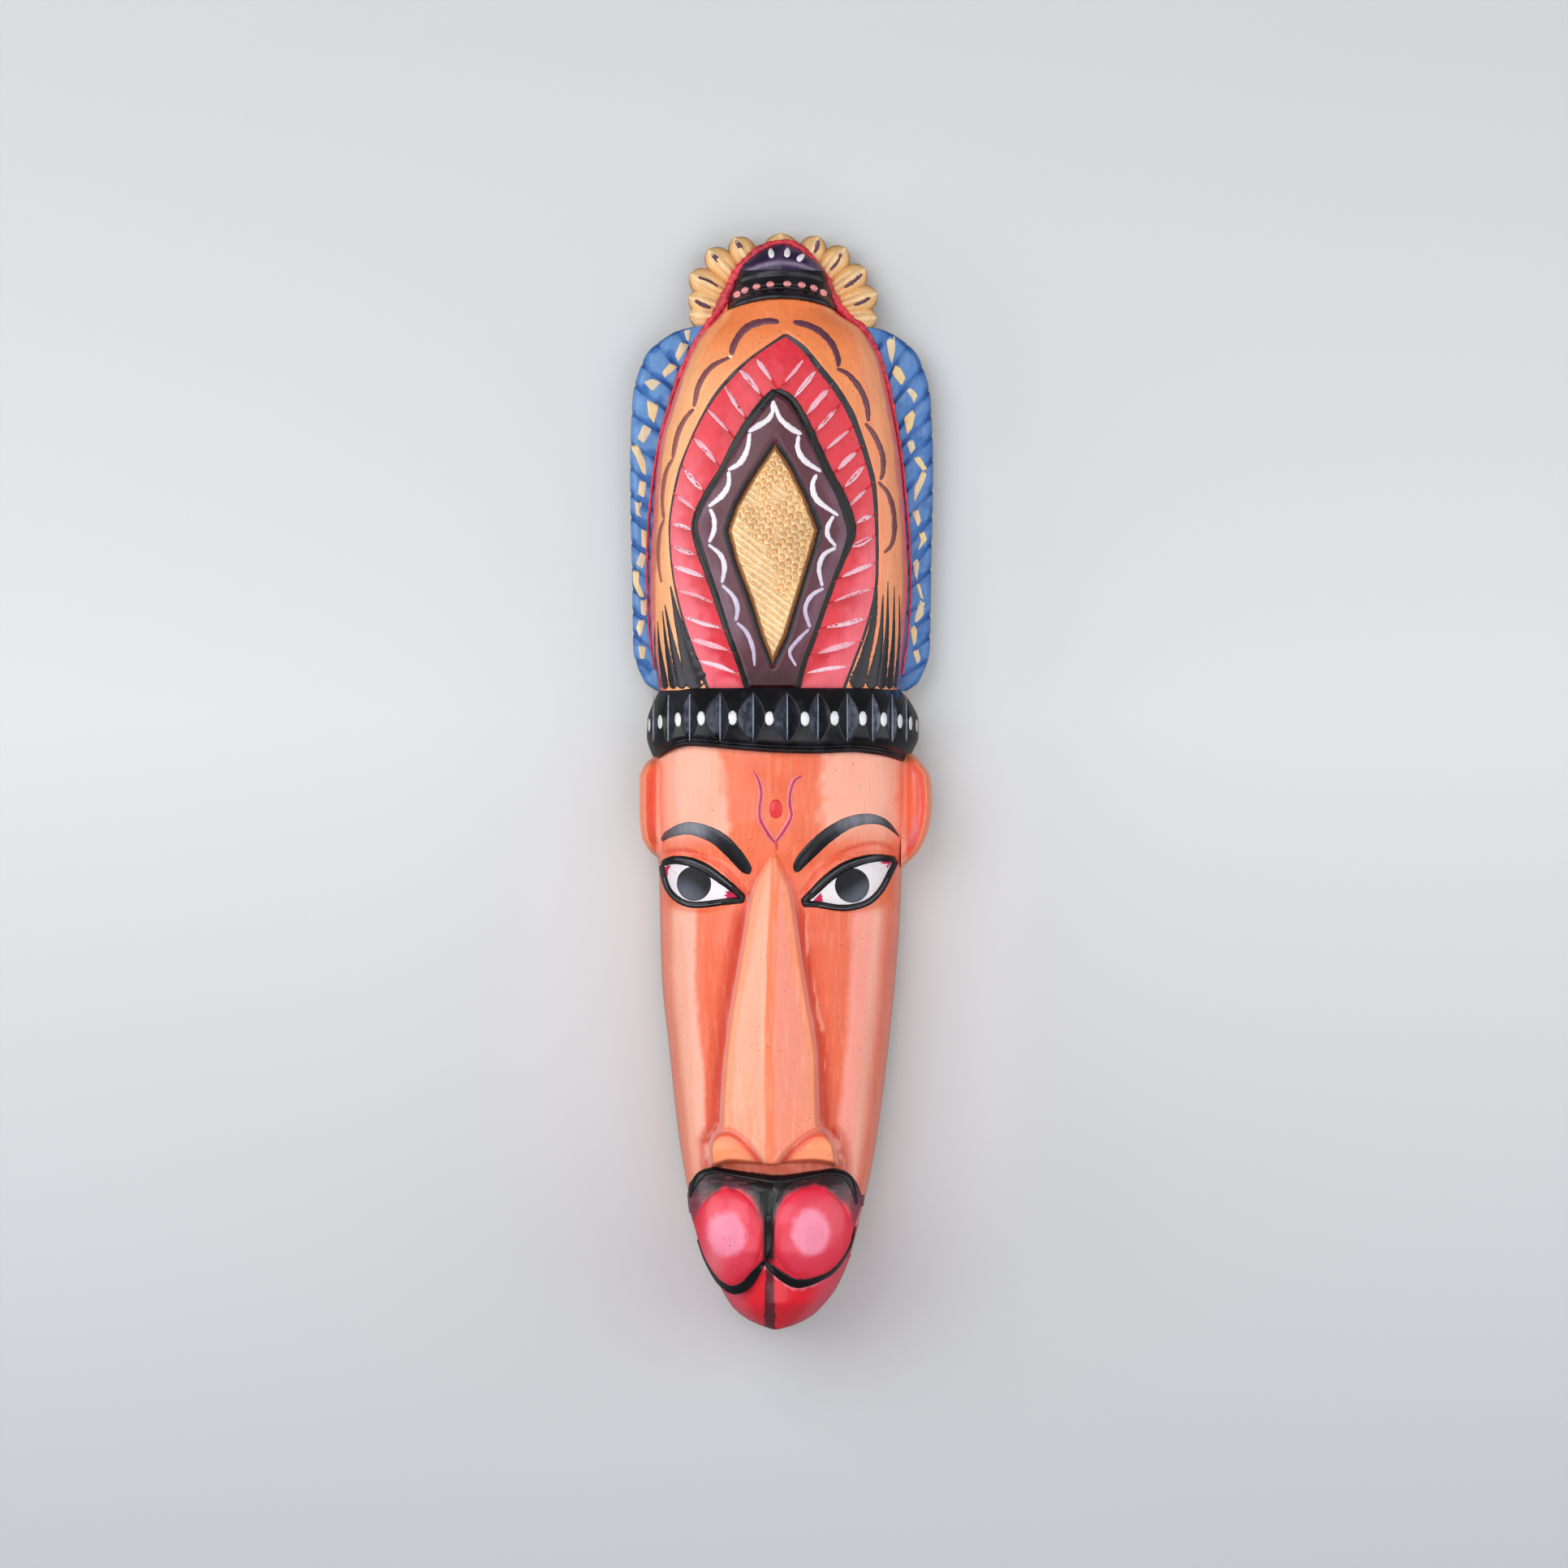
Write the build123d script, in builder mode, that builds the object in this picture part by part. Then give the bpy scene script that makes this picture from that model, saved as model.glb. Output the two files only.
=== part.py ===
"""Carved wooden wall mask: tall crown with side wings, long hollowed face, swinging hanger ring.

Millimetres, +Z up, the mask looks along -Y.  The wall is the plane Y = 0.
The origin is on the flat back of the spine plank, at the middle of the crown.
"""
from build123d import *
from math import radians, sin
import os

os.makedirs("parts", exist_ok=True)

# ---------------------------------------------------------------- driving dimensions
BOARD_T = 10.0            # thickness of the plank, the wings and the petal fan
SPINE_W = 48.0            # width of the spine plank
SPINE_TOP = 64.0          # height where the petal fan stands on the plank
CROWN_FOOT = -72.0        # height where the crown meets the headband
BAND_FOOT = -95.0         # height where the headband meets the face

FAN_CENTRE = (0.0, 64.0)  # centre of the petal fan
FAN_PETALS = 11
FAN_RADIUS = 36.5         # to the tips of the side petals
FAN_DROP = 2.7            # the top petal is this much shorter than the side ones
PETAL_LENGTH = 24.0
PETAL_WIDTH = 10.5

COLLAR_FOOT = 70.0
COLLAR_TOP = 84.0
CAP_TOP = 94.0

MOUTH = -287.0            # height where the face and the muzzle meet the jaw
HOLLOW_TOP = -110.0
HOLLOW_FOOT = -277.0
JAW_FOOT = -307.5

PANEL_BED = 34.0          # depth of the panel's bed in the dome, from the wall
LOZENGE_BED = 38.0        # depth of the lozenge's bed, from the wall

FLUTES = 12               # V notches round the headband
DOWEL_R = 4.0
WING_DOWEL_R = 2.5

PIVOT_Z = 34.0            # hanger ring's pivot: height
PIVOT_Y = -2.6            # and depth inside the pocket
WIRE_R = 1.0              # ring wire
KNUCKLE_GAP = 0.05        # running clearance round the wire
STRAP_W = 8.0
STRAP_T = 0.9
POCKET_DEPTH = 5.0
RING_HALF_W = 7.0         # from the middle to the wire's centre
RING_DROP = 14.0          # from the pivot to the wire's lowest centre
SCREW_DROPS = (7.5, 18.2) # screws' distances below the pivot


def half_round(height, left, right, depth, back):
    """Closed profile at a height: rounded front from one side to the other, straight back."""
    span = depth - back
    with BuildSketch(Plane.XY.offset(height)) as profile:
        with BuildLine():
            Spline(
                (-left, -back),
                (-0.93 * left, -back - 0.46 * span),
                (-0.60 * left, -back - 0.87 * span),
                ((right - left) / 4, -depth),
                (0.60 * right, -back - 0.87 * span),
                (0.93 * right, -back - 0.46 * span),
                (right, -back),
            )
            Line((right, -back), (-left, -back))
        make_face()
    return profile.sketch


def half_rounds(sections, back):
    """The profiles of one lofted piece, from its table of sections."""
    return [half_round(*section, back) for section in sections]


def save(block, label):
    """Label a finished block and write it as its own STEP file."""
    block.part.label = label
    export_step(block.part, f"parts/{label}.step")


# ---------------------------------------------------------------- crown
# sections from the foot up: height, half widths to the left and right, depth from the wall
DOME_SECTIONS = (
    (CROWN_FOOT, 45.5, 43.5, 47.0),
    (-50.0, 48.5, 46.0, 48.5),
    (-25.0, 48.5, 46.8, 48.0),
    (0.0, 47.5, 46.0, 46.5),
    (22.0, 45.0, 43.5, 44.0),
    (42.0, 39.0, 39.0, 40.0),
    (56.0, 32.5, 34.5, 35.5),
    (66.0, 24.0, 25.0, 30.5),
    (COLLAR_FOOT, 20.5, 20.0, 28.0),
)

with BuildPart() as dome_blank:
    loft(half_rounds(DOME_SECTIONS, BOARD_T))

PANEL_POINTS = ((0.0, 39.0), (-32.0, -11.0), (-14.0, CROWN_FOOT), (6.5, CROWN_FOOT), (25.5, -14.0))
LOZENGE_POINTS = ((-2.7, 19.0), (-20.0, -15.0), (-4.5, -62.0), (12.0, -15.0))

with BuildPart() as centre_panel:
    add(dome_blank.part)
    with BuildSketch(Plane.XZ.offset(PANEL_BED)):
        Polygon(*PANEL_POINTS, align=None)
    extrude(amount=BOARD_T * 3, mode=Mode.INTERSECT)
    with BuildSketch(Plane.XZ.offset(LOZENGE_BED)):
        Polygon(*LOZENGE_POINTS, align=None)
    extrude(amount=BOARD_T * 3, mode=Mode.SUBTRACT)

with BuildPart() as gold_lozenge:
    add(dome_blank.part)
    with BuildSketch(Plane.XZ.offset(LOZENGE_BED)):
        Polygon(*LOZENGE_POINTS, align=None)
    extrude(amount=BOARD_T * 3, mode=Mode.INTERSECT)

CROWN_DOWEL_X = 22.0
CROWN_DOWEL_Y = -24.0
CROWN_DOWEL_TOP = -52.0
CROWN_DOWEL_FOOT = -106.0

with BuildPart() as crown_dowels:
    with BuildSketch(Plane.XY.offset(CROWN_DOWEL_FOOT)):
        with Locations((-CROWN_DOWEL_X, CROWN_DOWEL_Y), (CROWN_DOWEL_X, CROWN_DOWEL_Y)):
            Circle(DOWEL_R)
    extrude(amount=CROWN_DOWEL_TOP - CROWN_DOWEL_FOOT)

with BuildPart() as crown_dome:
    add(dome_blank.part)
    with BuildSketch(Plane.XZ.offset(PANEL_BED)):
        Polygon(*PANEL_POINTS, align=None)
    extrude(amount=BOARD_T * 3, mode=Mode.SUBTRACT)
    add(crown_dowels.part, mode=Mode.SUBTRACT)

# ---------------------------------------------------------------- finial
COLLAR_SECTIONS = (
    (COLLAR_FOOT, 20.5, 20.0, 28.0),
    (77.0, 18.5, 18.5, 26.5),
    (COLLAR_TOP, 16.5, 16.0, 23.5),
)
CAP_SECTIONS = (
    (COLLAR_TOP, 16.5, 16.0, 23.5),
    (89.0, 11.5, 11.0, 21.0),
    (92.5, 6.5, 6.0, 17.5),
    (CAP_TOP, 2.5, 2.5, 15.0),
)

with BuildPart() as finial_collar:
    loft(half_rounds(COLLAR_SECTIONS, BOARD_T))

with BuildPart() as finial_cap:
    loft(half_rounds(CAP_SECTIONS, BOARD_T))

# ---------------------------------------------------------------- petal fan
with BuildPart() as petal_fan:
    with BuildSketch(Plane.XZ):
        with Locations(FAN_CENTRE):
            Circle(FAN_RADIUS - PETAL_LENGTH / 2)
        for petal in range(FAN_PETALS):
            turn = 180 * petal / (FAN_PETALS - 1)
            tip = FAN_RADIUS - FAN_DROP * sin(radians(turn))
            with Locations(FAN_CENTRE):
                with Locations(Rotation(0, 0, turn)):
                    with Locations((tip - PETAL_LENGTH / 2, 0)):
                        Ellipse(PETAL_LENGTH / 2, PETAL_WIDTH / 2)
        with Locations((0, SPINE_TOP - FAN_RADIUS)):
            Rectangle(3 * FAN_RADIUS, 2 * FAN_RADIUS, mode=Mode.SUBTRACT)
    extrude(amount=BOARD_T)

# ---------------------------------------------------------------- wings and spine plank
WING_DOWEL_HEIGHTS = (30.0, -45.0)
WING_DOWEL_LENGTH = 20.0

with BuildPart() as wing_dowels:
    for side in (-1, 1):
        start = side * SPINE_W / 2 - WING_DOWEL_LENGTH / 2
        with BuildSketch(Plane.YZ.offset(start)):
            with Locations(*[(-BOARD_T / 2, height) for height in WING_DOWEL_HEIGHTS]):
                Circle(WING_DOWEL_R)
        extrude(amount=WING_DOWEL_LENGTH)

# outer edge from the top inner corner down to the foot, for the wing on the +X side
WING_EDGE = (
    (40.0, 61.5),
    (51.0, 52.0),
    (55.5, 36.0),
    (56.4, 10.0),
    (55.6, -32.0),
    (55.2, -56.0),
    (51.0, -68.5),
    (46.5, CROWN_FOOT),
)


def wing(side):
    """Wing board on one side: +1 is the +X side, -1 its mirror image."""
    inner = side * SPINE_W / 2
    with BuildPart() as board:
        with BuildSketch(Plane.XZ):
            with BuildLine():
                Line((inner, CROWN_FOOT), (inner, SPINE_TOP))
                Line((inner, SPINE_TOP), (side * 31.0, SPINE_TOP))
                Spline((side * 31.0, SPINE_TOP), *[(side * x, z) for x, z in WING_EDGE])
                Line((side * WING_EDGE[-1][0], CROWN_FOOT), (inner, CROWN_FOOT))
            make_face()
        extrude(amount=BOARD_T)
        add(wing_dowels.part, mode=Mode.SUBTRACT)
    return board


left_wing = wing(-1)
right_wing = wing(1)

POCKET_W = 22.0
POCKET_TOP = 54.0
POCKET_FOOT = 10.0

SCREW_R = 1.25
SCREW_HEAD_R = 2.6
SCREW_HEAD_T = 0.7
SCREW_LENGTH = 4.0

strap_face = Plane.XZ.offset(POCKET_DEPTH - STRAP_T)

with BuildPart() as hanger_screws:
    with BuildSketch(Plane.XZ.offset(POCKET_DEPTH - STRAP_T - SCREW_HEAD_T)):
        with Locations(*[(0, PIVOT_Z - drop) for drop in SCREW_DROPS]):
            Circle(SCREW_HEAD_R)
    extrude(amount=SCREW_HEAD_T)
    with BuildSketch(strap_face):
        with Locations(*[(0, PIVOT_Z - drop) for drop in SCREW_DROPS]):
            Circle(SCREW_R)
    extrude(amount=STRAP_T + SCREW_LENGTH)

with BuildPart() as backing_board:
    with BuildSketch(Plane.XZ):
        with Locations((0, (SPINE_TOP + CROWN_FOOT) / 2)):
            Rectangle(SPINE_W, SPINE_TOP - CROWN_FOOT)
    extrude(amount=BOARD_T)
    with BuildSketch(Plane.XZ):
        with Locations((0, (POCKET_TOP + POCKET_FOOT) / 2)):
            RectangleRounded(POCKET_W, POCKET_TOP - POCKET_FOOT, 4)
    extrude(amount=POCKET_DEPTH, mode=Mode.SUBTRACT)
    add(wing_dowels.part, mode=Mode.SUBTRACT)
    add(hanger_screws.part, mode=Mode.SUBTRACT)

# ---------------------------------------------------------------- seam filler
# bead along the joint of dome, finial and boards, on the boards' front faces
BEAD_T = 3.5
BEAD_FOOT = -60.0
# outer edge of the bead on the +X side, from the top down to the foot
BEAD_EDGE = (
    (10.5, 91.5),
    (18.5, 83.5),
    (23.0, COLLAR_FOOT),
    (34.8, 58.0),
    (43.4, 32.0),
    (48.3, 0.0),
    (49.0, -35.0),
    (47.4, BEAD_FOOT),
)
BEAD_APEX = (0.0, CAP_TOP + 1.5)
BEAD_SPREAD = 1.03        # the dome is a little wider on the -X side

with BuildPart() as seam_filler:
    with BuildSketch(Plane.XZ.offset(BOARD_T)):
        with BuildLine():
            right_edge = Spline(BEAD_APEX, *BEAD_EDGE)
            left_edge = Spline(BEAD_APEX, *[(-BEAD_SPREAD * x, z) for x, z in BEAD_EDGE])
            Line(left_edge @ 1, right_edge @ 1)
        make_face()
    extrude(amount=BEAD_T)
    add(dome_blank.part, mode=Mode.SUBTRACT)
    add(finial_collar.part, mode=Mode.SUBTRACT)
    add(finial_cap.part, mode=Mode.SUBTRACT)

# ---------------------------------------------------------------- headband
BAND_SECTIONS = (
    (BAND_FOOT, 47.5, 47.5, 50.0),
    (-89.0, 50.0, 51.0, 54.5),
    (-83.0, 49.5, 50.0, 55.0),
    (-77.0, 47.5, 47.5, 52.0),
    (CROWN_FOOT, 45.5, 43.5, 48.5),
)
FLUTE_W = 6.0
FLUTE_DEPTH = 3.5
FLUTE_TOP = -74.0
FLUTE_FOOT = -90.0
BAND_RX = 49.0            # plan of the headband at mid height
BAND_RY = 53.5

with BuildPart() as headband:
    loft(half_rounds(BAND_SECTIONS, 0))
    for flute in range(FLUTES):
        turn = 180 + 180 * (flute + 0.5) / FLUTES
        reach = Vector(BAND_RX, 0, 0).rotate(Axis.Z, turn)
        reach = Vector(reach.X, reach.Y * BAND_RY / BAND_RX, 0)
        with BuildSketch(Plane.XY.offset(FLUTE_FOOT)):
            with Locations(Location((reach.X, reach.Y, 0), (0, 0, turn))):
                Polygon((-FLUTE_DEPTH, 0), (FLUTE_DEPTH, -FLUTE_W), (FLUTE_DEPTH, FLUTE_W), align=None)
        extrude(amount=FLUTE_TOP - FLUTE_FOOT, mode=Mode.SUBTRACT)
    add(crown_dowels.part, mode=Mode.SUBTRACT)

# ---------------------------------------------------------------- face
FACE_SECTIONS = (
    (MOUTH, 29.0, 23.0, 40.0),
    (-270.0, 33.0, 29.0, 46.0),
    (-240.0, 37.5, 35.5, 50.0),
    (-205.0, 41.5, 40.0, 50.0),
    (-170.0, 43.5, 43.5, 48.5),
    (-140.0, 45.5, 45.0, 47.0),
    (-120.0, 47.5, 47.0, 49.5),
    (BAND_FOOT, 47.0, 47.0, 49.5),
)
HOLLOW_SECTIONS = (
    (HOLLOW_FOOT, 15.0, 12.0, 16.0),
    (-262.0, 24.0, 21.0, 30.0),
    (-230.0, 28.0, 27.0, 36.0),
    (-180.0, 32.0, 32.0, 37.0),
    (-135.0, 34.0, 34.0, 35.0),
    (HOLLOW_TOP, 26.0, 26.0, 18.0),
)
HOLLOW_PROUD = -1.0       # the cutter starts this far behind the wall plane

with BuildPart() as face_hollow:
    loft(half_rounds(HOLLOW_SECTIONS, HOLLOW_PROUD))

MUZZLE_DOWEL_X = 15.0
MUZZLE_DOWEL_Z = -264.0
MUZZLE_DOWEL_BACK = 35.0
MUZZLE_DOWEL_FRONT = 56.0

with BuildPart() as muzzle_dowels:
    with BuildSketch(Plane.XZ.offset(MUZZLE_DOWEL_BACK)):
        with Locations((-MUZZLE_DOWEL_X, MUZZLE_DOWEL_Z), (MUZZLE_DOWEL_X - 2, MUZZLE_DOWEL_Z)):
            Circle(DOWEL_R)
    extrude(amount=MUZZLE_DOWEL_FRONT - MUZZLE_DOWEL_BACK)

with BuildPart() as face_block:
    loft(half_rounds(FACE_SECTIONS, 0))
    add(face_hollow.part, mode=Mode.SUBTRACT)
    add(crown_dowels.part, mode=Mode.SUBTRACT)
    add(muzzle_dowels.part, mode=Mode.SUBTRACT)

# ---------------------------------------------------------------- ears
EAR_FOOT = -133.0
EAR_BACK = 8.0
EAR_FRONT = 26.0


def ear(side, reach):
    """Ear slab against one cheek: it stands out to reach, and is cut to the cheek's side."""
    with BuildPart() as slab:
        with BuildSketch(Plane.XZ.offset(EAR_BACK)):
            with BuildLine():
                Line((side * 40, BAND_FOOT), (side * (reach - 5), BAND_FOOT))
                Spline(
                    (side * (reach - 5), BAND_FOOT),
                    (side * reach, BAND_FOOT - 12),
                    (side * (reach - 1.5), EAR_FOOT + 14),
                    (side * 46, EAR_FOOT),
                )
                Line((side * 46, EAR_FOOT), (side * 40, EAR_FOOT))
                Line((side * 40, EAR_FOOT), (side * 40, BAND_FOOT))
            make_face()
        extrude(amount=EAR_FRONT - EAR_BACK)
        add(face_block.part, mode=Mode.SUBTRACT)
    return slab


left_ear = ear(-1, 52.0)
right_ear = ear(1, 55.5)

# ---------------------------------------------------------------- nose
# sections down the bridge: height, middle, half width, depth from the wall
NOSE_SECTIONS = (
    (-244.0, -2.5, 22.0, 64.0),
    (-238.0, -2.5, 22.5, 68.5),
    (-230.0, -2.5, 18.5, 68.0),
    (-200.0, -2.0, 16.5, 62.0),
    (-165.0, -1.5, 12.0, 56.0),
    (-131.0, -1.0, 4.0, 50.0),
)
NOSE_BACK = 42.0

with BuildPart() as nose:
    for height, middle, half_width, depth in NOSE_SECTIONS:
        with BuildSketch(Plane.XY.offset(height)):
            Polygon(
                (middle - half_width, -NOSE_BACK),
                (middle - 0.62 * half_width, -depth + 3.5),
                (middle, -depth),
                (middle + 0.62 * half_width, -depth + 3.5),
                (middle + half_width, -NOSE_BACK),
                align=None,
            )
    loft(ruled=True)
    add(face_block.part, mode=Mode.SUBTRACT)

# ---------------------------------------------------------------- muzzle and jaw
MUZZLE_TOP = -248.0
MUZZLE_BACK = 36.0
MUZZLE_SECTIONS = (
    (MOUTH, 28.5, 21.5, 57.0),
    (-279.0, 32.0, 26.0, 64.0),
    (-266.0, 34.0, 30.0, 67.0),
    (-255.0, 34.0, 30.0, 65.0),
    (MUZZLE_TOP, 29.0, 25.5, 57.0),
)
JAW_SECTIONS = (
    (JAW_FOOT, 6.0, 2.5, 36.0),
    (-304.0, 15.0, 11.0, 44.0),
    (-297.0, 22.5, 17.0, 51.0),
    (MOUTH, 27.5, 21.0, 54.0),
)

with BuildPart() as muzzle:
    loft(half_rounds(MUZZLE_SECTIONS, MUZZLE_BACK))
    add(face_block.part, mode=Mode.SUBTRACT)
    add(muzzle_dowels.part, mode=Mode.SUBTRACT)

with BuildPart() as lower_jaw:
    loft(half_rounds(JAW_SECTIONS, 0))

# ---------------------------------------------------------------- hanger
KNUCKLE_R = WIRE_R + KNUCKLE_GAP
KNUCKLE_WALL = 0.9
STRAP_FOOT = PIVOT_Z - 22.0

with BuildPart() as hanger_strap:
    with BuildSketch(strap_face):
        with Locations((0, (PIVOT_Z + STRAP_FOOT) / 2)):
            Rectangle(STRAP_W, PIVOT_Z - STRAP_FOOT)
    extrude(amount=STRAP_T)
    with BuildSketch(Plane.YZ.offset(-STRAP_W / 2)):
        with Locations((PIVOT_Y, PIVOT_Z)):
            Circle(KNUCKLE_R + KNUCKLE_WALL)
    extrude(amount=STRAP_W)
    with BuildSketch(Plane.YZ.offset(-STRAP_W / 2)):
        with Locations((PIVOT_Y, PIVOT_Z)):
            Circle(KNUCKLE_R)
    extrude(amount=STRAP_W, mode=Mode.SUBTRACT)
    add(hanger_screws.part, mode=Mode.SUBTRACT)

CORNER_R = 1.6            # bends between the ring's straight bar and its bow

with BuildPart() as hanger_ring:
    with BuildLine(Plane.XZ.offset(-PIVOT_Y)):
        FilletPolyline(
            (0, PIVOT_Z),
            (RING_HALF_W, PIVOT_Z),
            (RING_HALF_W, PIVOT_Z - RING_DROP),
            (0, PIVOT_Z - RING_DROP),
            radius=[CORNER_R, 0.7 * RING_HALF_W],
        )
    with BuildSketch(Plane.YZ):
        with Locations((PIVOT_Y, PIVOT_Z)):
            Circle(WIRE_R)
    sweep()
    mirror(about=Plane.YZ)

# ---------------------------------------------------------------- hand out
save(face_block, "face_block")
save(nose, "nose")
save(muzzle, "muzzle")
save(lower_jaw, "lower_jaw")
save(left_ear, "left_ear")
save(right_ear, "right_ear")
save(headband, "headband")
save(crown_dome, "crown_dome")
save(centre_panel, "centre_panel")
save(gold_lozenge, "gold_lozenge")
save(finial_collar, "finial_collar")
save(finial_cap, "finial_cap")
save(petal_fan, "petal_fan")
save(left_wing, "left_wing")
save(right_wing, "right_wing")
save(seam_filler, "seam_filler")
save(backing_board, "backing_board")
save(crown_dowels, "crown_dowels")
save(wing_dowels, "wing_dowels")
save(muzzle_dowels, "muzzle_dowels")
save(hanger_strap, "hanger_strap")
save(hanger_screws, "hanger_screws")
save(hanger_ring, "hanger_ring")
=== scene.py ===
"""Looks of the carved and painted wall mask, built round its CAD frame.

Shapes are worked out in millimetres in the frame of the CAD model (the mask looks along -Y) and
are turned into metres when a mesh is made.  Every carved piece is a closed mesh whose front is
a height field, and every brush stroke is a thin closed ribbon that lies on such a front.
"""
import math

import bpy
import numpy as np
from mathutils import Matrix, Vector


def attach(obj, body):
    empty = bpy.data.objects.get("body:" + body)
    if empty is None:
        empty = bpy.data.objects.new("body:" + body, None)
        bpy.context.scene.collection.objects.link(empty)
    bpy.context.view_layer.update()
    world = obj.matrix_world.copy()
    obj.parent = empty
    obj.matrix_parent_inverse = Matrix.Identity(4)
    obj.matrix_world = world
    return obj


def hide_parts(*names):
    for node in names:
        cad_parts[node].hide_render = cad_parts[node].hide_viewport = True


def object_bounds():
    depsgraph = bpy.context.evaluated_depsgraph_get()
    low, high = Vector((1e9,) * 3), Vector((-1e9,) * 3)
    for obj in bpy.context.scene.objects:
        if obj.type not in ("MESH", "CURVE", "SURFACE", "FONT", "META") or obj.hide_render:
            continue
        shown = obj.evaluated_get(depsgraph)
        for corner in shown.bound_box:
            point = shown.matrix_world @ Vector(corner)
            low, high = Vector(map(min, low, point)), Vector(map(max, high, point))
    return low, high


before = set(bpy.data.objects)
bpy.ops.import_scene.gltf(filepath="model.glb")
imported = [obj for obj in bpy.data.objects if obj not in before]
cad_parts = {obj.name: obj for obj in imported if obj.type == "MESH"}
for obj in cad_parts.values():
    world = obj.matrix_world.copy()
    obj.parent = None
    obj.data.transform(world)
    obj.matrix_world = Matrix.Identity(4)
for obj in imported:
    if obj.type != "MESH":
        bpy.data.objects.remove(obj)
cad_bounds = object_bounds()

MM = 0.001
BODY = "mask"


# ---------------------------------------------------------------- numbers and curves
def curve(*points):
    """Smooth function through (position, value) points, with no overshoot between them."""
    points = sorted(points)
    p = np.array([a for a, _ in points], float)
    v = np.array([b for _, b in points], float)
    slope = np.diff(v) / np.diff(p)
    m = np.zeros(len(p))
    m[0], m[-1] = slope[0], slope[-1]
    same = slope[1:] * slope[:-1] > 0
    m[1:-1] = np.where(same, 2 * slope[1:] * slope[:-1] / np.where(same, slope[1:] + slope[:-1], 1), 0)

    def value(t):
        t = np.clip(np.asarray(t, float), p[0], p[-1])
        i = np.clip(np.searchsorted(p, t) - 1, 0, len(p) - 2)
        h = p[i + 1] - p[i]
        s = (t - p[i]) / h
        return (
            v[i] * (1 + 2 * s) * (1 - s) ** 2 + m[i] * h * s * (1 - s) ** 2
            + v[i + 1] * s * s * (3 - 2 * s) + m[i + 1] * h * s * s * (s - 1)
        )

    return value


def ease(low, high, t):
    """0 below low, 1 above high, smooth between them."""
    s = np.clip((np.asarray(t, float) - low) / (high - low), 0, 1)
    return s * s * (3 - 2 * s)


def bell(offset, width):
    """1 where the offset is nothing, falling to 0 within about twice the width."""
    return np.exp(-(offset / width) ** 2)


def run_along(points):
    """Distance covered at each point of a line, from its start."""
    return np.r_[0, np.cumsum(np.linalg.norm(np.diff(points, axis=0), axis=1))]


def resampled(path, run, even):
    """The columns of a line at even distances along it."""
    return np.column_stack([np.interp(even, run, path[:, k]) for k in range(path.shape[1])])


def directions(points):
    """Unit direction of a line at each of its points."""
    tangent = np.gradient(points, axis=0)
    return tangent / (np.linalg.norm(tangent, axis=1)[:, None] + 1e-9)


def noise(x, z, size, seed=0):
    """Smooth repeatable noise between -1 and 1, with grains of about the given size."""
    u, v = np.asarray(x, float) / size, np.asarray(z, float) / size
    i, j = np.floor(u).astype(np.int64), np.floor(v).astype(np.int64)
    a, b = u - i, v - j
    a, b = a * a * (3 - 2 * a), b * b * (3 - 2 * b)

    def corner(p, q):
        h = (p * 374761393 + q * 668265263 + seed * 974634777) & 0x7FFFFFFF
        h = ((h ^ (h >> 13)) * 1274126177) & 0x7FFFFFFF
        return (h ^ (h >> 16)) / 0x3FFFFFFF - 1.0

    top = corner(i, j) * (1 - a) + corner(i + 1, j) * a
    low = corner(i, j + 1) * (1 - a) + corner(i + 1, j + 1) * a
    return top * (1 - b) + low * b


def smooth_path(points, step=0.6):
    """Evenly spaced points on a Catmull-Rom curve through the given ones; columns are kept."""
    p = np.array(points, float)
    p = np.vstack([2 * p[0] - p[1], p, 2 * p[-1] - p[-2]])
    out = []
    for i in range(1, len(p) - 2):
        count = max(2, int(np.linalg.norm(p[i + 1][:2] - p[i][:2]) / step * 2))
        t = np.linspace(0, 1, count, endpoint=False)[:, None]
        out.append(
            0.5 * (
                2 * p[i] + (p[i + 1] - p[i - 1]) * t
                + (2 * p[i - 1] - 5 * p[i] + 4 * p[i + 1] - p[i + 2]) * t ** 2
                + (3 * p[i] - p[i - 1] - 3 * p[i + 1] + p[i + 2]) * t ** 3
            )
        )
    out = np.vstack(out + [p[-2][None]])
    run = run_along(out[:, :2])
    return resampled(out, run, np.linspace(0, run[-1], max(3, int(run[-1] / step) + 1)))


def line_distance(x, z, path):
    """Distance of each (x, z) from a line of 2-D points."""
    best = np.full(np.shape(x), 1e9)
    for (ax, az), (bx, bz) in zip(path[:-1, :2], path[1:, :2]):
        dx, dz = bx - ax, bz - az
        t = np.clip(((x - ax) * dx + (z - az) * dz) / max(dx * dx + dz * dz, 1e-9), 0, 1)
        best = np.minimum(best, np.hypot(x - ax - t * dx, z - az - t * dz))
    return best


def inside(x, z, outline):
    """True where (x, z) lies inside a closed outline of 2-D points."""
    hit = np.zeros(np.shape(x), bool)
    for (ax, az), (bx, bz) in zip(outline, np.roll(outline, -1, axis=0)):
        crosses = (az > z) != (bz > z)
        at = ax + (z - az) * (bx - ax) / np.where(abs(bz - az) < 1e-9, 1e-9, bz - az)
        hit ^= crosses & (x < at)
    return hit


def rgb(red, green, blue):
    """Linear colour of the given display values, 0 to 255."""
    c = np.array([red, green, blue], float) / 255
    return np.where(c <= 0.04045, c / 12.92, ((c + 0.055) / 1.055) ** 2.4)


def blend(a, b, t):
    """Colour or colours between a and b; t may be an array."""
    t = np.clip(np.asarray(t, float), 0, 1)[..., None]
    return np.asarray(a) * (1 - t) + np.asarray(b) * t


def layers(colour, *coats):
    """Coats of paint, each (colour, cover), laid over a first colour in turn."""
    for over, cover in coats:
        colour = blend(colour, over, cover)
    return colour


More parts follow.
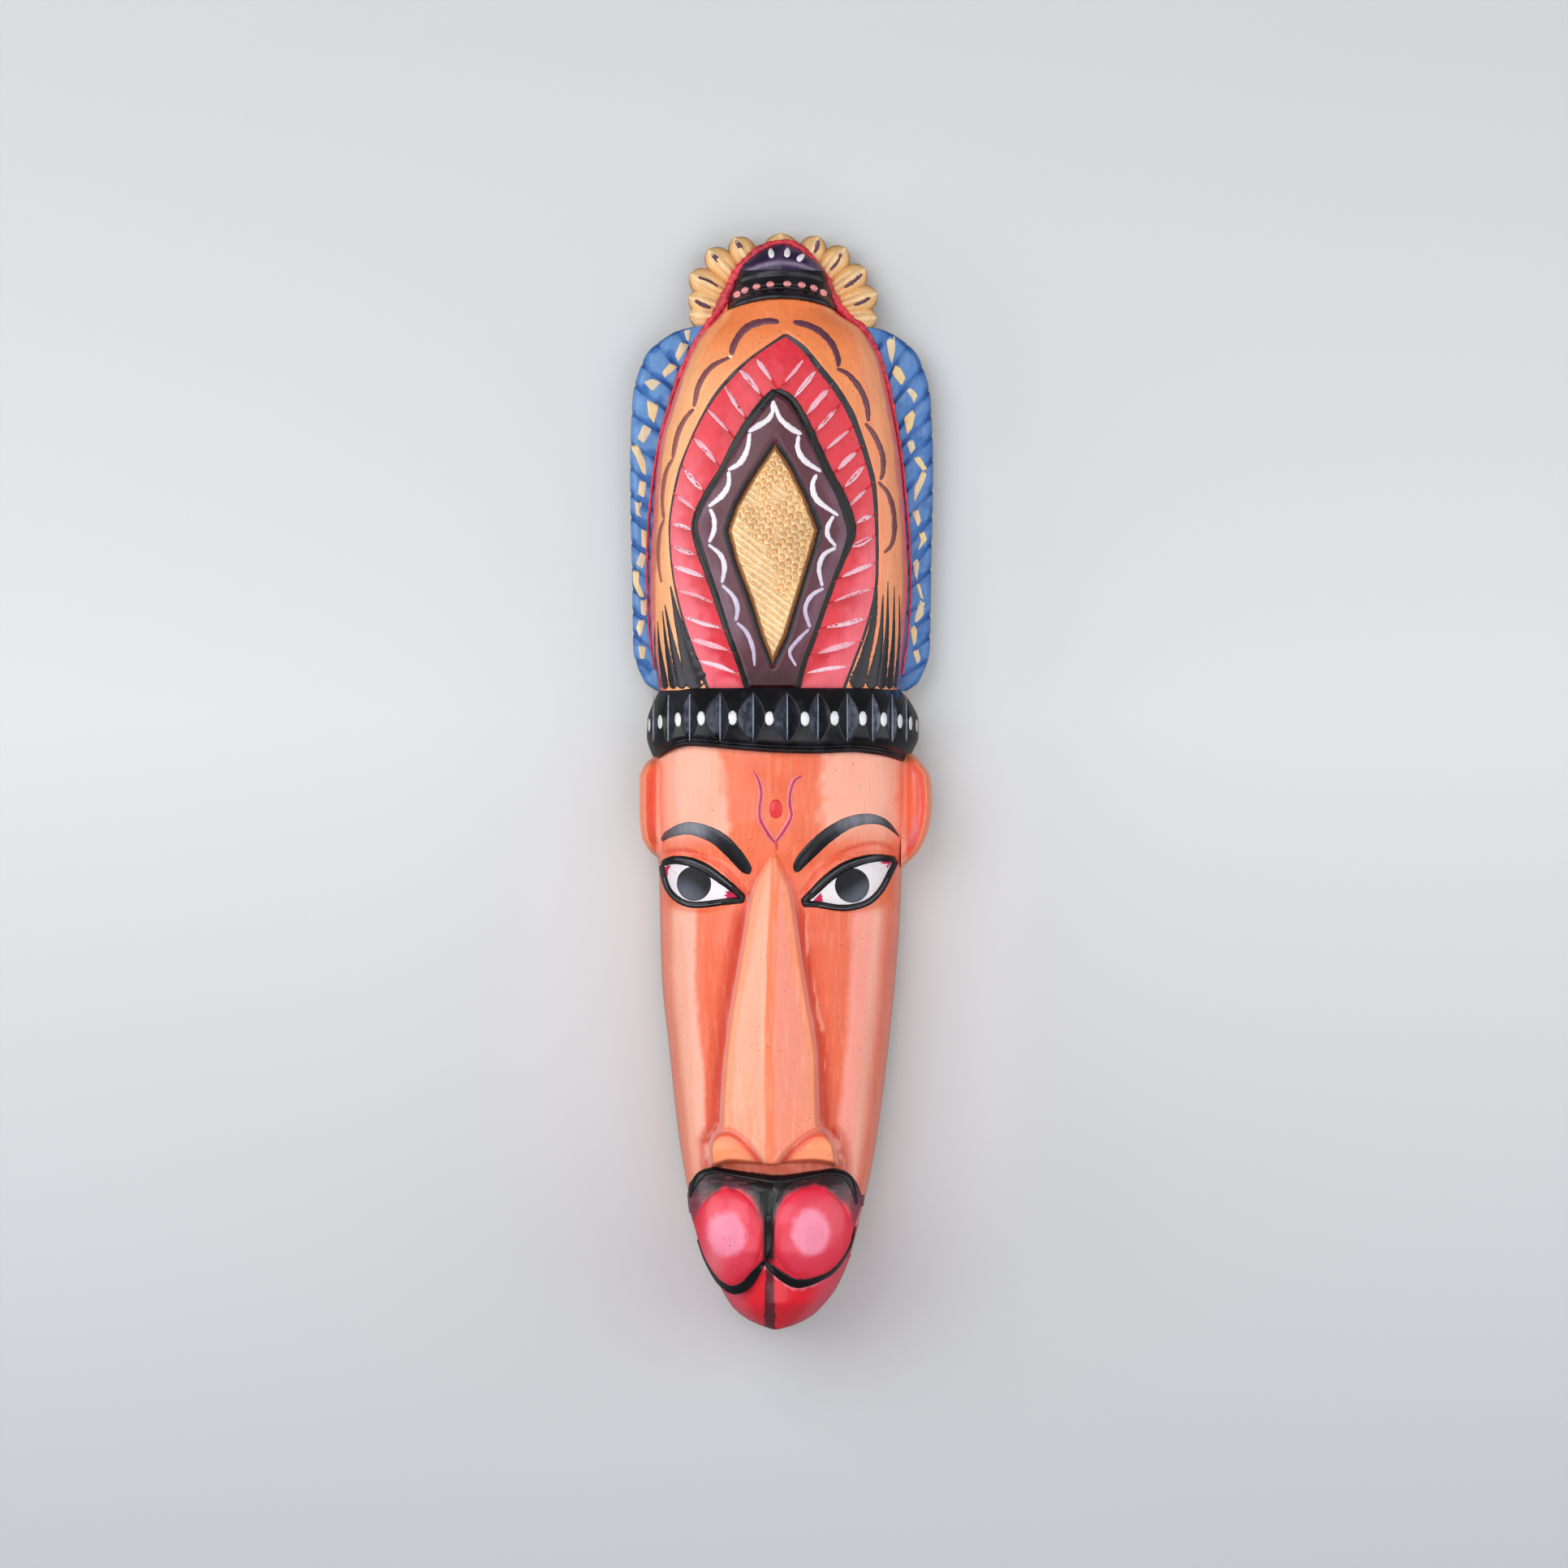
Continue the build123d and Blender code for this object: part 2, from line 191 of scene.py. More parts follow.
def widths(points, values):
    """(x, z) points with a stroke width for each."""
    return [(x, z, w) for (x, z), w in zip(points, values)]


def widened(points, factor):
    """A stroke's (x, z, width) points with the widths multiplied."""
    return [(x, z, w * factor) for x, z, w in points]


# ---------------------------------------------------------------- materials
def node(tree, kind, **settings):
    n = tree.nodes.new(kind)
    for key, value in settings.items():
        if key.startswith("in_"):
            n.inputs[key[3:].replace("_", " ")].default_value = value
        else:
            setattr(n, key, value)
    return n


def stretched_noise(tree, stretch, scale, detail, rough=0.55):
    """Noise in object coordinates, in grains per metre, stretched along each axis."""
    place = node(tree, "ShaderNodeTexCoord")
    turn = node(tree, "ShaderNodeMapping", in_Scale=stretch)
    grain = node(tree, "ShaderNodeTexNoise", in_Scale=scale, in_Detail=detail, in_Roughness=rough)
    tree.links.new(place.outputs["Object"], turn.inputs["Vector"])
    tree.links.new(turn.outputs[0], grain.inputs["Vector"])
    return grain.outputs["Fac"]


def ramp(tree, factor, stops):
    """Colour ramp from a factor; stops are (position, grey)."""
    r = node(tree, "ShaderNodeValToRGB")
    while len(r.color_ramp.elements) < len(stops):
        r.color_ramp.elements.new(0.5)
    for element, (position, grey) in zip(r.color_ramp.elements, stops):
        element.position = position
        element.color = (grey, grey, grey, 1)
    tree.links.new(factor, r.inputs[0])
    return r.outputs[0]


def multiply(tree, a, b):
    m = node(tree, "ShaderNodeMix", data_type="RGBA", blend_type="MULTIPLY")
    m.inputs[0].default_value = 1.0
    tree.links.new(a, m.inputs[6])
    tree.links.new(b, m.inputs[7])
    return m.outputs[2]


def new_material(name):
    """A material with its node tree and its shader."""
    m = bpy.data.materials.new(name)
    m.use_nodes = True
    return m, m.node_tree, m.node_tree.nodes["Principled BSDF"]


def finish_material(tree, shader, colour, height, strength, distance, **values):
    """Joins a colour and a bump height to the shader and sets its other values."""
    tree.links.new(colour, shader.inputs["Base Color"])
    lift = node(tree, "ShaderNodeBump", in_Strength=strength, in_Distance=distance)
    tree.links.new(height, lift.inputs["Height"])
    tree.links.new(lift.outputs[0], shader.inputs["Normal"])
    for key, value in values.items():
        shader.inputs[key.replace("_", " ")].default_value = value


def uneven_roughness(tree, shader, factor, low, high):
    roughness = node(tree, "ShaderNodeMapRange", in_To_Min=low, in_To_Max=high)
    tree.links.new(factor, roughness.inputs[0])
    tree.links.new(roughness.outputs[0], shader.inputs["Roughness"])


def paint_material(name, rough=0.34, coat=0.55, coat_rough=0.12, streak=(1, 1, 0.08), strength=0.16,
                   bump=0.25, specks=True, metallic=0.0, specular=0.5):
    """Hand-brushed gloss paint: its colour comes from the mesh's paint layer, with brush streaks,
    pin-hole specks and uneven varnish."""
    m, tree, shader = new_material(name)
    base = node(tree, "ShaderNodeAttribute", attribute_name="paint").outputs["Color"]
    marks = [(stretched_noise(tree, streak, 900, 4), [(0.25, 1 - strength), (0.75, 1 + strength)]),
             (stretched_noise(tree, (1, 1, 1), 90, 3), [(0.3, 1 - strength * 0.7),
        (0.7, 1 + strength * 0.5)])]
    if specks:
        marks.append((stretched_noise(tree, (1, 1, 1), 1500, 0), [(0.165, 0.3), (0.195, 1.0)]))
    for factor, stops in marks:
        base = multiply(tree, base, ramp(tree, factor, stops))
    wear = stretched_noise(tree, (1, 1, 1), 320, 3)
    uneven_roughness(tree, shader, wear, max(0.03, rough - 0.12), rough + 0.14)
    finish_material(tree, shader, base, stretched_noise(tree, streak, 700, 5), bump, 0.0006,
                    Coat_Weight=coat, Coat_Roughness=coat_rough, Metallic=metallic,
                    Specular_IOR_Level=specular)
    return m


def wood_material(name, light, dark, rough=0.62):
    """Bare sawn wood with grain along Z."""
    m, tree, shader = new_material(name)
    grain = stretched_noise(tree, (1, 1, 0.06), 420, 6, 0.65)
    rings = stretched_noise(tree, (1, 1, 0.1), 60, 3)
    add = node(tree, "ShaderNodeMath", operation="MULTIPLY_ADD")
    add.inputs[1].default_value = 0.6
    tree.links.new(rings, add.inputs[0])
    tree.links.new(grain, add.inputs[2])
    mix = node(tree, "ShaderNodeValToRGB")
    for element, position, colour in zip(mix.color_ramp.elements, (0.55, 1.0), (dark, light)):
        element.position, element.color = position, (*colour, 1)
    tree.links.new(add.outputs[0], mix.inputs[0])
    finish_material(tree, shader, mix.outputs[0], grain, 0.35, 0.0005, Roughness=rough)
    return m


def metal_material(name, colour, rough=0.3):
    """Zinc-plated steel, slightly dulled and scratched."""
    m, tree, shader = new_material(name)
    base = node(tree, "ShaderNodeRGB")
    base.outputs[0].default_value = (*colour, 1)
    stain = stretched_noise(tree, (1, 1, 1), 500, 4)
    base = multiply(tree, base.outputs[0], ramp(tree, stain, [(0.3, 0.62), (0.65, 1.0)]))
    uneven_roughness(tree, shader, stain, rough - 0.1, rough + 0.25)
    scratch = stretched_noise(tree, (1, 1, 0.1), 2200, 3)
    finish_material(tree, shader, base, scratch, 0.15, 0.0002, Metallic=1.0)
    return m


GLOSS = paint_material("gloss_paint", rough=0.42, coat=0.22, coat_rough=0.16, strength=0.09, bump=0.16)
FACE = paint_material("face_paint", rough=0.40, coat=0.28, coat_rough=0.14, strength=0.045,
                      streak=(1, 1, 0.05), bump=0.10)
BLACK = paint_material("black_gloss", rough=0.26, coat=0.12, coat_rough=0.18, strength=0.2, bump=0.12,
                       specks=False, specular=0.3)
GOLD = paint_material("gold_paint", rough=0.42, coat=0.25, coat_rough=0.2, metallic=0.25, streak=(1, 1, 1),
                      strength=0.22, bump=0.45, specks=False)
STROKE = paint_material("stroke_paint", rough=0.38, coat=0.25, strength=0.10, bump=0.2, specks=False)
EYE = paint_material("eye_paint", rough=0.5, coat=0.06, strength=0.06, bump=0.15, specks=False,
                     specular=0.25)
FILLER = paint_material("filler_paint", rough=0.45, coat=0.2, streak=(1, 1, 1), strength=0.3, bump=0.8,
                        specks=False)
BARE_WOOD = wood_material("bare_wood", rgb(196, 158, 112), rgb(140, 98, 60))
DOWEL_WOOD = wood_material("dowel_wood", rgb(214, 182, 138), rgb(170, 130, 86))
STEEL = metal_material("hanger_steel", rgb(196, 194, 188))


# ---------------------------------------------------------------- meshes
def make_object(name, verts, faces, materials, colours, face_slots=None, flat=None):
    """Mesh object from millimetre vertices with a paint colour at each."""
    mesh = bpy.data.meshes.new(name)
    mesh.from_pydata((np.asarray(verts) * MM).tolist(), [], faces)
    for material in materials:
        mesh.materials.append(material)
    if face_slots is not None:
        mesh.polygons.foreach_set("material_index", np.asarray(face_slots, np.int32))
    smooth = np.ones(len(mesh.polygons), bool)
    if flat is not None:
        smooth[np.asarray(flat)] = False
    mesh.polygons.foreach_set("use_smooth", smooth)
    layer = mesh.color_attributes.new("paint", "FLOAT_COLOR", "POINT")
    full = np.ones((len(verts), 4), np.float32)
    full[:, :3] = colours
    layer.data.foreach_set("color", full.ravel())
    mesh.update()
    obj = bpy.data.objects.new(name, mesh)
    bpy.context.scene.collection.objects.link(obj)
    return obj


def finish_piece(obj, slot, *nodes):
    """Puts a piece on its body and hides the CAD nodes that it takes the place of."""
    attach(obj, BODY)
    if nodes:
        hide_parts(*nodes)


def grid_faces(index):
    """Four-sided faces of a grid of vertex numbers."""
    return np.column_stack([index[:-1, :-1].ravel(), index[:-1, 1:].ravel(), index[1:, 1:].ravel(),
                            index[1:, :-1].ravel()])


def grid_edge(index):
    """Vertex numbers once round a grid."""
    return np.r_[index[0, :], index[1:, -1], index[-1, -2::-1], index[-2:0:-1, 0]]


def tube_faces(count, sides):
    """Faces of a closed tube of count rings, its two ends among them."""
    faces = [[i * sides + k, i * sides + (k + 1) % sides, (i + 1) * sides + (k + 1) % sides,
              (i + 1) * sides + k] for i in range(count - 1) for k in range(sides)]
    return faces + [list(range(sides))[::-1], [(count - 1) * sides + k for k in range(sides)]]


def relief(name, x, z, y, back, colours, materials, hollow=None, tuck=1.0):
    """Closed carving: a front grid at depth y (negative towards the viewer), walls round its
    edge, and a flat back at the depth back.  hollow digs it out: (row step, column step, lowest and
    highest Z, half width along Z, depth at a point).  tuck narrows the back."""
    rows, cols = x.shape
    start = rows * cols
    front = np.column_stack([x.ravel(), y.ravel(), z.ravel()])
    index = np.arange(start).reshape(rows, cols)
    faces = grid_faces(index).tolist()
    ring = grid_edge(index)
    count, front_count = len(ring), len(faces)
    flat_verts = front[ring].copy()
    flat_verts[:, 1] = back
    flat_verts[:, 0] = (flat_verts[:, 0] - x.mean()) * tuck + x.mean()
    tint = colours.reshape(-1, 3)
    verts, tint = [front, flat_verts], [tint, tint[ring]]
    for k in range(count):
        n = (k + 1) % count
        faces.append([int(ring[k]), int(start + k), int(start + n), int(ring[n])])
    flat = np.arange(front_count, front_count + count + 1)
    if hollow is None:
        behind = [[start + k for k in range(count)][::-1]]
    else:
        step_r, step_c, low, high, half, depth = hollow
        hr, hc = rows // step_r + 1, cols // step_c + 1
        inner = start + count + np.arange(hr * hc).reshape(hr, hc)
        hz = np.linspace(low, high, hr)[:, None] * np.ones(hc)
        hx = half(hz) * np.sin(np.linspace(-math.pi / 2, math.pi / 2, hc))[None, :]
        verts.append(np.column_stack([hx.ravel(), depth(hx, hz).ravel(), hz.ravel()]))
        tint.append(np.tile(rgb(190, 150, 105), (hr * hc, 1)))
        behind = grid_faces(inner)[:, ::-1].tolist()
        inner_ring = grid_edge(inner)
        at = 0
        for k, width in enumerate(([step_c] * (hc - 1) + [step_r] * (hr - 1)) * 2):
            outer = [int(start + (at + j) % count) for j in range(width + 1)]
            behind.append(outer[::-1] + [int(inner_ring[k]), int(inner_ring[(k + 1) % len(inner_ring)])])
            at += width
    slots = [0] * len(faces) + [len(materials) - 1] * len(behind)
    return make_object(name, np.vstack(verts), faces + behind, materials, np.vstack(tint), slots, flat)


def carve(name, grid, back, paint, materials, slot, *nodes, **options):
    """A closed carving from a grid (x, z, y) and the function that paints it."""
    finish_piece(relief(name, *grid, back, paint(*grid), materials, **options), slot, *nodes)


class HalfRound:
    """Half-round front of a block: edges and depth along Z, and a relief worked into it.
    power shapes the section: 1 is an ellipse, less is a flatter front."""

    def __init__(self, left, right, depth, back, power=0.8, worked=None):
        self.left, self.right, self.depth, self.back = left, right, depth, back
        self.power, self.worked = power, worked

    def span(self, z):
        """Middle and half width at a height."""
        return (self.left(z) + self.right(z)) / 2, (self.right(z) - self.left(z)) / 2

    def share(self, x, z):
        """-1 on the left edge, 0 in the middle, 1 on the right edge."""
        middle, half = self.span(z)
        return (x - middle) / half

    def y(self, x, z):
        x, z = np.asarray(x, float), np.asarray(z, float)
        rise = np.sqrt(np.clip(1 - self.share(x, z) ** 2, 0, 1))
        power = self.power(z) if callable(self.power) else self.power
        out = self.back + (self.depth(z) - self.back) * rise ** power
        if self.worked is not None:
            out = out + self.worked(x, z) * ease(0.05, 0.4, rise)
        return -out

    def grid(self, low, high, rows, cols, reach=88.0):
        """x, z and y of a grid of points, closer together towards the sides."""
        z = np.linspace(low, high, rows)[:, None] * np.ones(cols)
        turn = np.radians(np.linspace(-reach, reach, cols))[None, :]
        middle, half = self.span(z)
        x = middle + half * np.sin(turn)
        return x, z, self.y(x, z)


class Face:
    """A front given by any function y(x, z)."""

    def __init__(self, y):
        self.y = y


STROKE_STEP = 0.5     # distance between the points of a stroke
STROKE_ROOT = 0.35    # how far strokes and fills reach into the carving under them
FILL_ROOT = 0.4


def laid(host, at, lower, lowest=0.0):
    """Points (x, z) put on a host's front, moved inwards by lower and lowest."""
    return np.column_stack([at[:, 0], host.y(at[:, 0], at[:, 1]) + lower + lowest, at[:, 1]])


class Strokes:
    """Brush strokes and spots gathered into one piece. Each is a thin closed solid of paint."""

    def __init__(self):
        self.verts, self.faces, self.tint, self.total = [], [], [], 0

    def _add(self, verts, faces, colour):
        self.verts.append(verts)
        self.faces += [[i + self.total for i in f] for f in faces]
        self.tint.append(np.broadcast_to(colour, (len(verts), 3)))
        self.total += len(verts)

    def brush(self, host, points, colour, lift=0.2, ragged=0.07, end_colour=None):
        """A stroke with rounded ends through (x, z, width) points."""
        path = smooth_path(points, STROKE_STEP)
        run = run_along(path[:, :2])
        tangent = directions(path[:, :2])
        normal = np.column_stack([-tangent[:, 1], tangent[:, 0]])
        half = path[:, 2] / 2 * (1 + ragged * noise(run, path[:, 0] * 3 + path[:, 1], 1.3, 5))
        for side in (run, run[-1] - run):
            reach = np.maximum(half, 0.15)
            half = half * np.sqrt(np.clip(1 - (1 - np.clip(side / reach, 0, 1)) ** 2, 0.03, 1))
        rings = []
        for across, high in ((-1, -0.5), (-0.75, 0.55), (-0.3, 0.95), (0.3, 0.95), (0.75, 0.55), (1, -0.5)):
            rings.append(laid(host, path[:, :2] + normal * (half * across)[:, None], -lift * high))
        for across in (0.6, -0.6):
            rings.append(laid(host, path[:, :2] + normal * (half * across)[:, None], STROKE_ROOT))
        n = len(rings)
        if callable(colour):
            tint = np.repeat(colour(path[:, 0], path[:, 1]), n, axis=0)
        elif end_colour is not None:
            tint = np.repeat(blend(colour, end_colour, run / run[-1]), n, axis=0)
        else:
            tint = np.asarray(colour, float)
        self._add(np.stack(rings, axis=1).reshape(-1, 3), tube_faces(len(path), n), tint)

    def spot(self, host, x, z, wide, high, colour, lift=0.3, turn=0.0, sides=22, pinch=0.0):
        """A rounded spot; pinch draws one end out into a drop's tail."""
        a = np.linspace(0, 2 * math.pi, sides, endpoint=False)
        u, v = np.cos(a) * wide / 2, np.sin(a) * high / 2
        u = u * (1 - pinch * (0.5 + 0.5 * np.sin(a)))
        wobble = 1 + 0.05 * noise(np.cos(a) * 2 + x, np.sin(a) * 2 + z, 0.9, 3)
        u, v = u * wobble, v * wobble
        c, s = math.cos(math.radians(turn)), math.sin(math.radians(turn))
        self.fill(host, np.column_stack([x + u * c - v * s, z + u * s + v * c]), colour, lift)

    def fill(self, host, outline, colour, lift=0.25, rings=4, crown=True, edge_colour=None):
        """A filled outline that can be seen whole from its middle."""
        outline = np.asarray(outline, float)
        if np.cross(outline, np.roll(outline, -1, axis=0)).sum() < 0:
            outline = outline[::-1]
        middle = outline.mean(axis=0)
        count = len(outline)
        levels, tints = [], []
        for k in range(rings, 0, -1):
            share = k / rings
            at = middle + (outline - middle) * share
            high = (1 - share ** 3) if crown else (0.9 if k < rings else 0.0)
            levels.append(laid(host, at, -lift * high, 0.03))
            if callable(colour):
                shade = colour(at[:, 0], at[:, 1])
            else:
                shade = colour if edge_colour is None else blend(colour, edge_colour, share ** 2)
            tints.append(np.broadcast_to(shade, (count, 3)))
        levels.append(laid(host, middle + (outline - middle) * 0.96, FILL_ROOT))
        top_tint = colour(middle[:1], middle[1:])[0] if callable(colour) else np.asarray(colour)
        tints.append(np.broadcast_to(top_tint, (count, 3)))
        verts = np.vstack(levels + [laid(host, middle[None], -lift)])
        last, tip, root = (rings - 1) * count, len(verts) - 1, rings * count
        pairs = [(i, (i + 1) % count) for i in range(count)]
        faces = [[k * count + i, k * count + j, (k + 1) * count + j, (k + 1) * count + i]
                 for k in range(rings - 1) for i, j in pairs]
        for i, j in pairs:
            faces += [[last + i, last + j, tip], [root + i, root + j, j, i]]
        faces.append([root + i for i in range(count)][::-1])
        self._add(verts, faces, np.vstack(tints + [top_tint[None]]))

    def piece(self, name, material, slot):
        finish_piece(make_object(name, np.vstack(self.verts), self.faces, [material],
                                 np.vstack(self.tint)), slot)


BEAD_STEP = 0.45


def bead(name, path, radius, colour, material, slot, *nodes, seed, sides=12):
    """A lumpy bead of filler along 3-D points (x, y, z) with a radius at each."""
    run = run_along(path)
    even = np.linspace(0, run[-1], int(run[-1] / BEAD_STEP))
    path = resampled(path, run, even)
    radius = np.interp(even, run, radius)
    tangent = directions(path)
    side = np.cross(tangent, np.array([0.0, -1.0, 0.0]))
    side /= np.linalg.norm(side, axis=1)[:, None] + 1e-9
    rise = np.cross(side, tangent)
    verts = []
    for k in range(sides):
        a = 2 * math.pi * k / sides
        lump = 1 + 0.30 * noise(even, np.full_like(even, k * 0.9), 1.6, seed)
        lump = lump + 0.16 * noise(even, k * 1.7 + even * 0, 0.6, seed + 1)
        verts.append(path + (side * math.cos(a) + rise * math.sin(a)) * (radius * lump)[:, None])
    verts = np.stack(verts, axis=1).reshape(-1, 3)
    dark = noise(verts[:, 0], verts[:, 2], 1.1, seed + 4)[:, None]
    tint = np.clip(np.asarray(colour) * (1 + 0.35 * dark), 0, 1)
    finish_piece(make_object(name, verts, tube_faces(len(path), sides), [material], tint), slot, *nodes)


# ---------------------------------------------------------------- crown
CROWN_BACK = 10.0
DOME_FOOT, DOME_TOP = -72.0, 74.0
dome_left = curve((-72, -45.3), (-53, -48.3), (-31, -48.9), (-5, -47.7), (12, -46.3), (21, -45),
    (32, -41.8), (45, -37.4), (59, -30.9), (68, -22.8), (74, -19.6))
dome_right = curve((-72, 43.2), (-49, 45.8), (-31, 47), (-5, 45.7), (12, 44.3), (21, 43), (39, 39.5),
    (53, 35.6), (62, 30), (70, 19.8), (74, 19.4))
dome_depth = curve((-72, 47), (-50, 48.5), (-25, 48), (0, 46.5), (22, 44), (42, 40), (56, 35.5), (66, 31),
    (74, 27.6))

OGIVE = [(1.5, 59.4), (8.1, 54.3), (14.1, 46.8), (20.1, 39.3), (25.5, 30.3), (28.8, 22), (31.5, 13.8),
    (33.9, 4.8), (34.8, -4.2), (35.2, -14), (35.3, -24), (35, -33), (33.2, -42.3), (30.3, -52.2),
    (27.3, -60), (22.8, -72)]
OGIVE_LEFT = [(1.5, 59.4), (-5.4, 54.9), (-12.3, 49.8), (-18.9, 43.5), (-24.9, 36.3), (-30.3, 27.3),
    (-34.5, 18.3), (-37.8, 9.3), (-39.9, 0.3), (-41.3, -8.7), (-41.4, -16.2), (-40.5, -26.7), (-39, -35.7),
    (-36.3, -46.2), (-33.3, -55.2), (-27, -72)]
PANEL = [(-2.1, 38.7), (3.6, 34.8), (8.1, 27.3), (12.6, 18.3), (16.6, 9.3), (21.4, 0.3), (24.7, -8.7),
    (25.5, -14.7), (23.1, -22.2), (19.5, -31.2), (15.6, -41.7), (12, -52.2), (8.1, -62.7), (5.7, -72)]
PANEL_LEFT = [(-2.1, 38.7), (-6.9, 33.3), (-12.9, 25.8), (-17.4, 18.3), (-21.9, 9.3), (-26.6, 1.8),
    (-30.5, -5.7), (-32.1, -11.7), (-30.3, -19.2), (-27.3, -28.2), (-23.7, -38.7), (-19.8, -50.7),
    (-15.9, -61.2), (-12.4, -72)]
LOZENGE = [(-2.4, 18.6), (3, 10.3), (8.7, -1.2), (13.2, -13.2), (10.3, -23.7), (6.2, -37.2), (1.6, -52.2),
    (-3.3, -62.5)]
LOZENGE_LEFT = [(-2.4, 18.6), (-10.6, 6.3), (-16.6, -4.2), (-19.6, -13.2), (-17, -23.7), (-11.4, -38.7),
    (-7.2, -52.2), (-3.3, -62.5)]


def closed(right, left):
    """Closed outline from the two sides of a shape, both given from the top down."""
    return np.vstack([smooth_path(right, 1.2), smooth_path(left, 1.2)[::-1]])


ogive_outline, panel_outline = closed(OGIVE, OGIVE_LEFT), closed(PANEL, PANEL_LEFT)
lozenge_outline = np.array(LOZENGE + LOZENGE_LEFT[-2:0:-1], float)

# white rays of the red band, from the outer end to the inner end, top to bottom
RAYS_LEFT = [((-9.3, 50.4), (-3.6, 42.3)), ((-15.6, 46.5), (-7.8, 37.2)), ((-21, 40.5), (-13.5, 28.8)),
    ((-27.3, 31.8), (-19.5, 23.4)), ((-32.4, 21.3), (-24, 11.7)), ((-36, 9.9), (-29.1, 1.8)),
    ((-38.7, 0), (-31.5, -5.7)), ((-40.5, -10.5), (-33, -12.9)), ((-40.2, -18.6), (-31.5, -21.9)),
    ((-39.9, -26.1), (-28.5, -30.3)), ((-38.4, -35.1), (-24.9, -39.9)), ((-36, -44.7), (-21.9, -49.2)),
    ((-33.6, -53.1), (-19.5, -57.3)), ((-30.3, -61.2), (-16.8, -65.7))]
RAYS_RIGHT = [((8.1, 50.1), (1.2, 41.7)), ((12.6, 45.9), (4.5, 35.7)), ((17.4, 39.3), (9, 29.4)),
    ((20.1, 31.8), (12.6, 23.4)), ((24.9, 24), (16.5, 16.8)), ((27.6, 15.9), (20.7, 9.3)),
    ((30.6, 11.1), (23.1, 2.7)), ((31.2, 2.1), (24.9, -4.2)), ((33.6, -7.5), (27.3, -10.5)),
    ((33.6, -15.3), (25.5, -19.2)), ((33.9, -25.2), (22.2, -30.3)), ((33.6, -34.5), (19.2, -39.3)),
    ((31.2, -45.3), (16.5, -48.9)), ((27.6, -54.3), (13.2, -58.5)), ((24, -63.3), (9.3, -65.7))]


def shingle(x, z, rays):
    """0 just below a ray, rising to 1 just above the next one: the carved steps of the red band."""
    sides = []
    for (ax, az), (bx, bz) in rays:
        length = math.hypot(ax - bx, az - bz)
        nx, nz = -(az - bz) / length, (ax - bx) / length
        if nz < 0:
            nx, nz = -nx, -nz
        sides.append((x - bx) * nx + (z - bz) * nz)
    share = np.full(np.shape(x), 0.5)
    for above, below in zip(sides[:-1], sides[1:]):
        between = (above < 0) & (below >= 0)
        share = np.where(between, -above / np.maximum(below - above, 1e-6), share)
    return share


def band_share(x, z):
    return np.where(x < -1, shingle(x, z, RAYS_LEFT), shingle(x, z, RAYS_RIGHT))


def collar_arc(x):
    """Height of the line where the finial's collar rises from the dome."""
    return 73.0 - 0.0095 * (x - 0.5) ** 2


def work_dome(x, z):
    """Carving in the dome: groove on the ogive, the red band stepped down inside it, and a bed
    for the panel; small knife marks all over."""
    near = line_distance(x, z, np.vstack([ogive_outline, ogive_outline[:1]]))
    within = inside(x, z, ogive_outline)
    bed = inside(x, z, panel_outline)
    side = np.where(within, near, -near)
    out = -0.9 * bell(near, 0.9) - 0.9 * ease(-0.2, 1.6, side)
    out = out + np.where(within & ~bed, 0.75 * (0.5 - band_share(x, z)), 0)
    out = np.where(bed, -2.6, out)
    out = out + 0.12 * noise(x, z, 7, 11) + 0.05 * noise(x, z, 2.2, 12)
    return out - 3.4 * ease(-0.25, 0.35, z - collar_arc(x))


def work_panel(x, z):
    """The dark panel: a raised field that falls towards its edge and towards the lozenge's bed."""
    edge = line_distance(x, z, np.vstack([panel_outline, panel_outline[:1]]))
    bed = inside(x, z, lozenge_outline)
    near = line_distance(x, z, np.vstack([lozenge_outline, lozenge_outline[:1]]))
    out = -0.9 + 1.2 * ease(0, 2.4, edge) - 1.5 * bell(near, 1.3)
    out = np.where(bed, -2.6, out)
    return out + 0.07 * noise(x, z, 3.0, 21)


def work_lozenge(x, z):
    """The gold lozenge: bevelled rim, scored ridges falling to the right, gouge dimples."""
    near = line_distance(x, z, np.vstack([lozenge_outline, lozenge_outline[:1]]))
    fall = x * 0.60 + z * 0.80
    along = x * 0.80 - z * 0.60
    scored = (fall + 0.35 * noise(along, fall, 7, 31)) / 2.3
    part = scored - np.floor(scored)
    ridge = np.clip(1.25 - np.abs(part - 0.45) * 2.6, 0, 1)
    rough_zone = ease(-0.45, 0.15, (x + 7.5) / 22 + (z + 6) / 60 + 0.8 * noise(x, z, 7, 34))
    cell = along / 3.1 + 0.5 * np.floor(scored) + 0.5 * noise(np.floor(scored) * 3.7, x * 0.05, 0.7, 35)
    scoop = (cell - np.floor(cell) - 0.5) / 0.30
    lip = part - 0.10 - 0.30 * np.clip(1 - scoop ** 2, 0, 1)
    gouge = bell(lip, 0.16) * ease(1.6, 0.6, np.abs(scoop))
    out = 0.55 * ridge * (1 - 0.35 * rough_zone) - 0.85 * gouge * rough_zone + 0.16 * noise(x, z, 1.3, 33)
    return -1.9 + 2.3 * ease(0, 1.6, near) + out * ease(0.4, 1.6, near)


dome, panel_face, lozenge_face = (HalfRound(dome_left, dome_right, dome_depth, CROWN_BACK, 0.85, worked)
                                  for worked in (work_dome, work_panel, work_lozenge))

ORANGE_DEEP, ORANGE, PEACH = rgb(236, 120, 62), rgb(246, 148, 88), rgb(252, 178, 122)
PINK_EDGE, RED_EDGE = rgb(232, 104, 104), rgb(212, 66, 80)
RED, RED_DEEP, PINK = rgb(222, 34, 54), rgb(196, 10, 30), rgb(242, 106, 122)


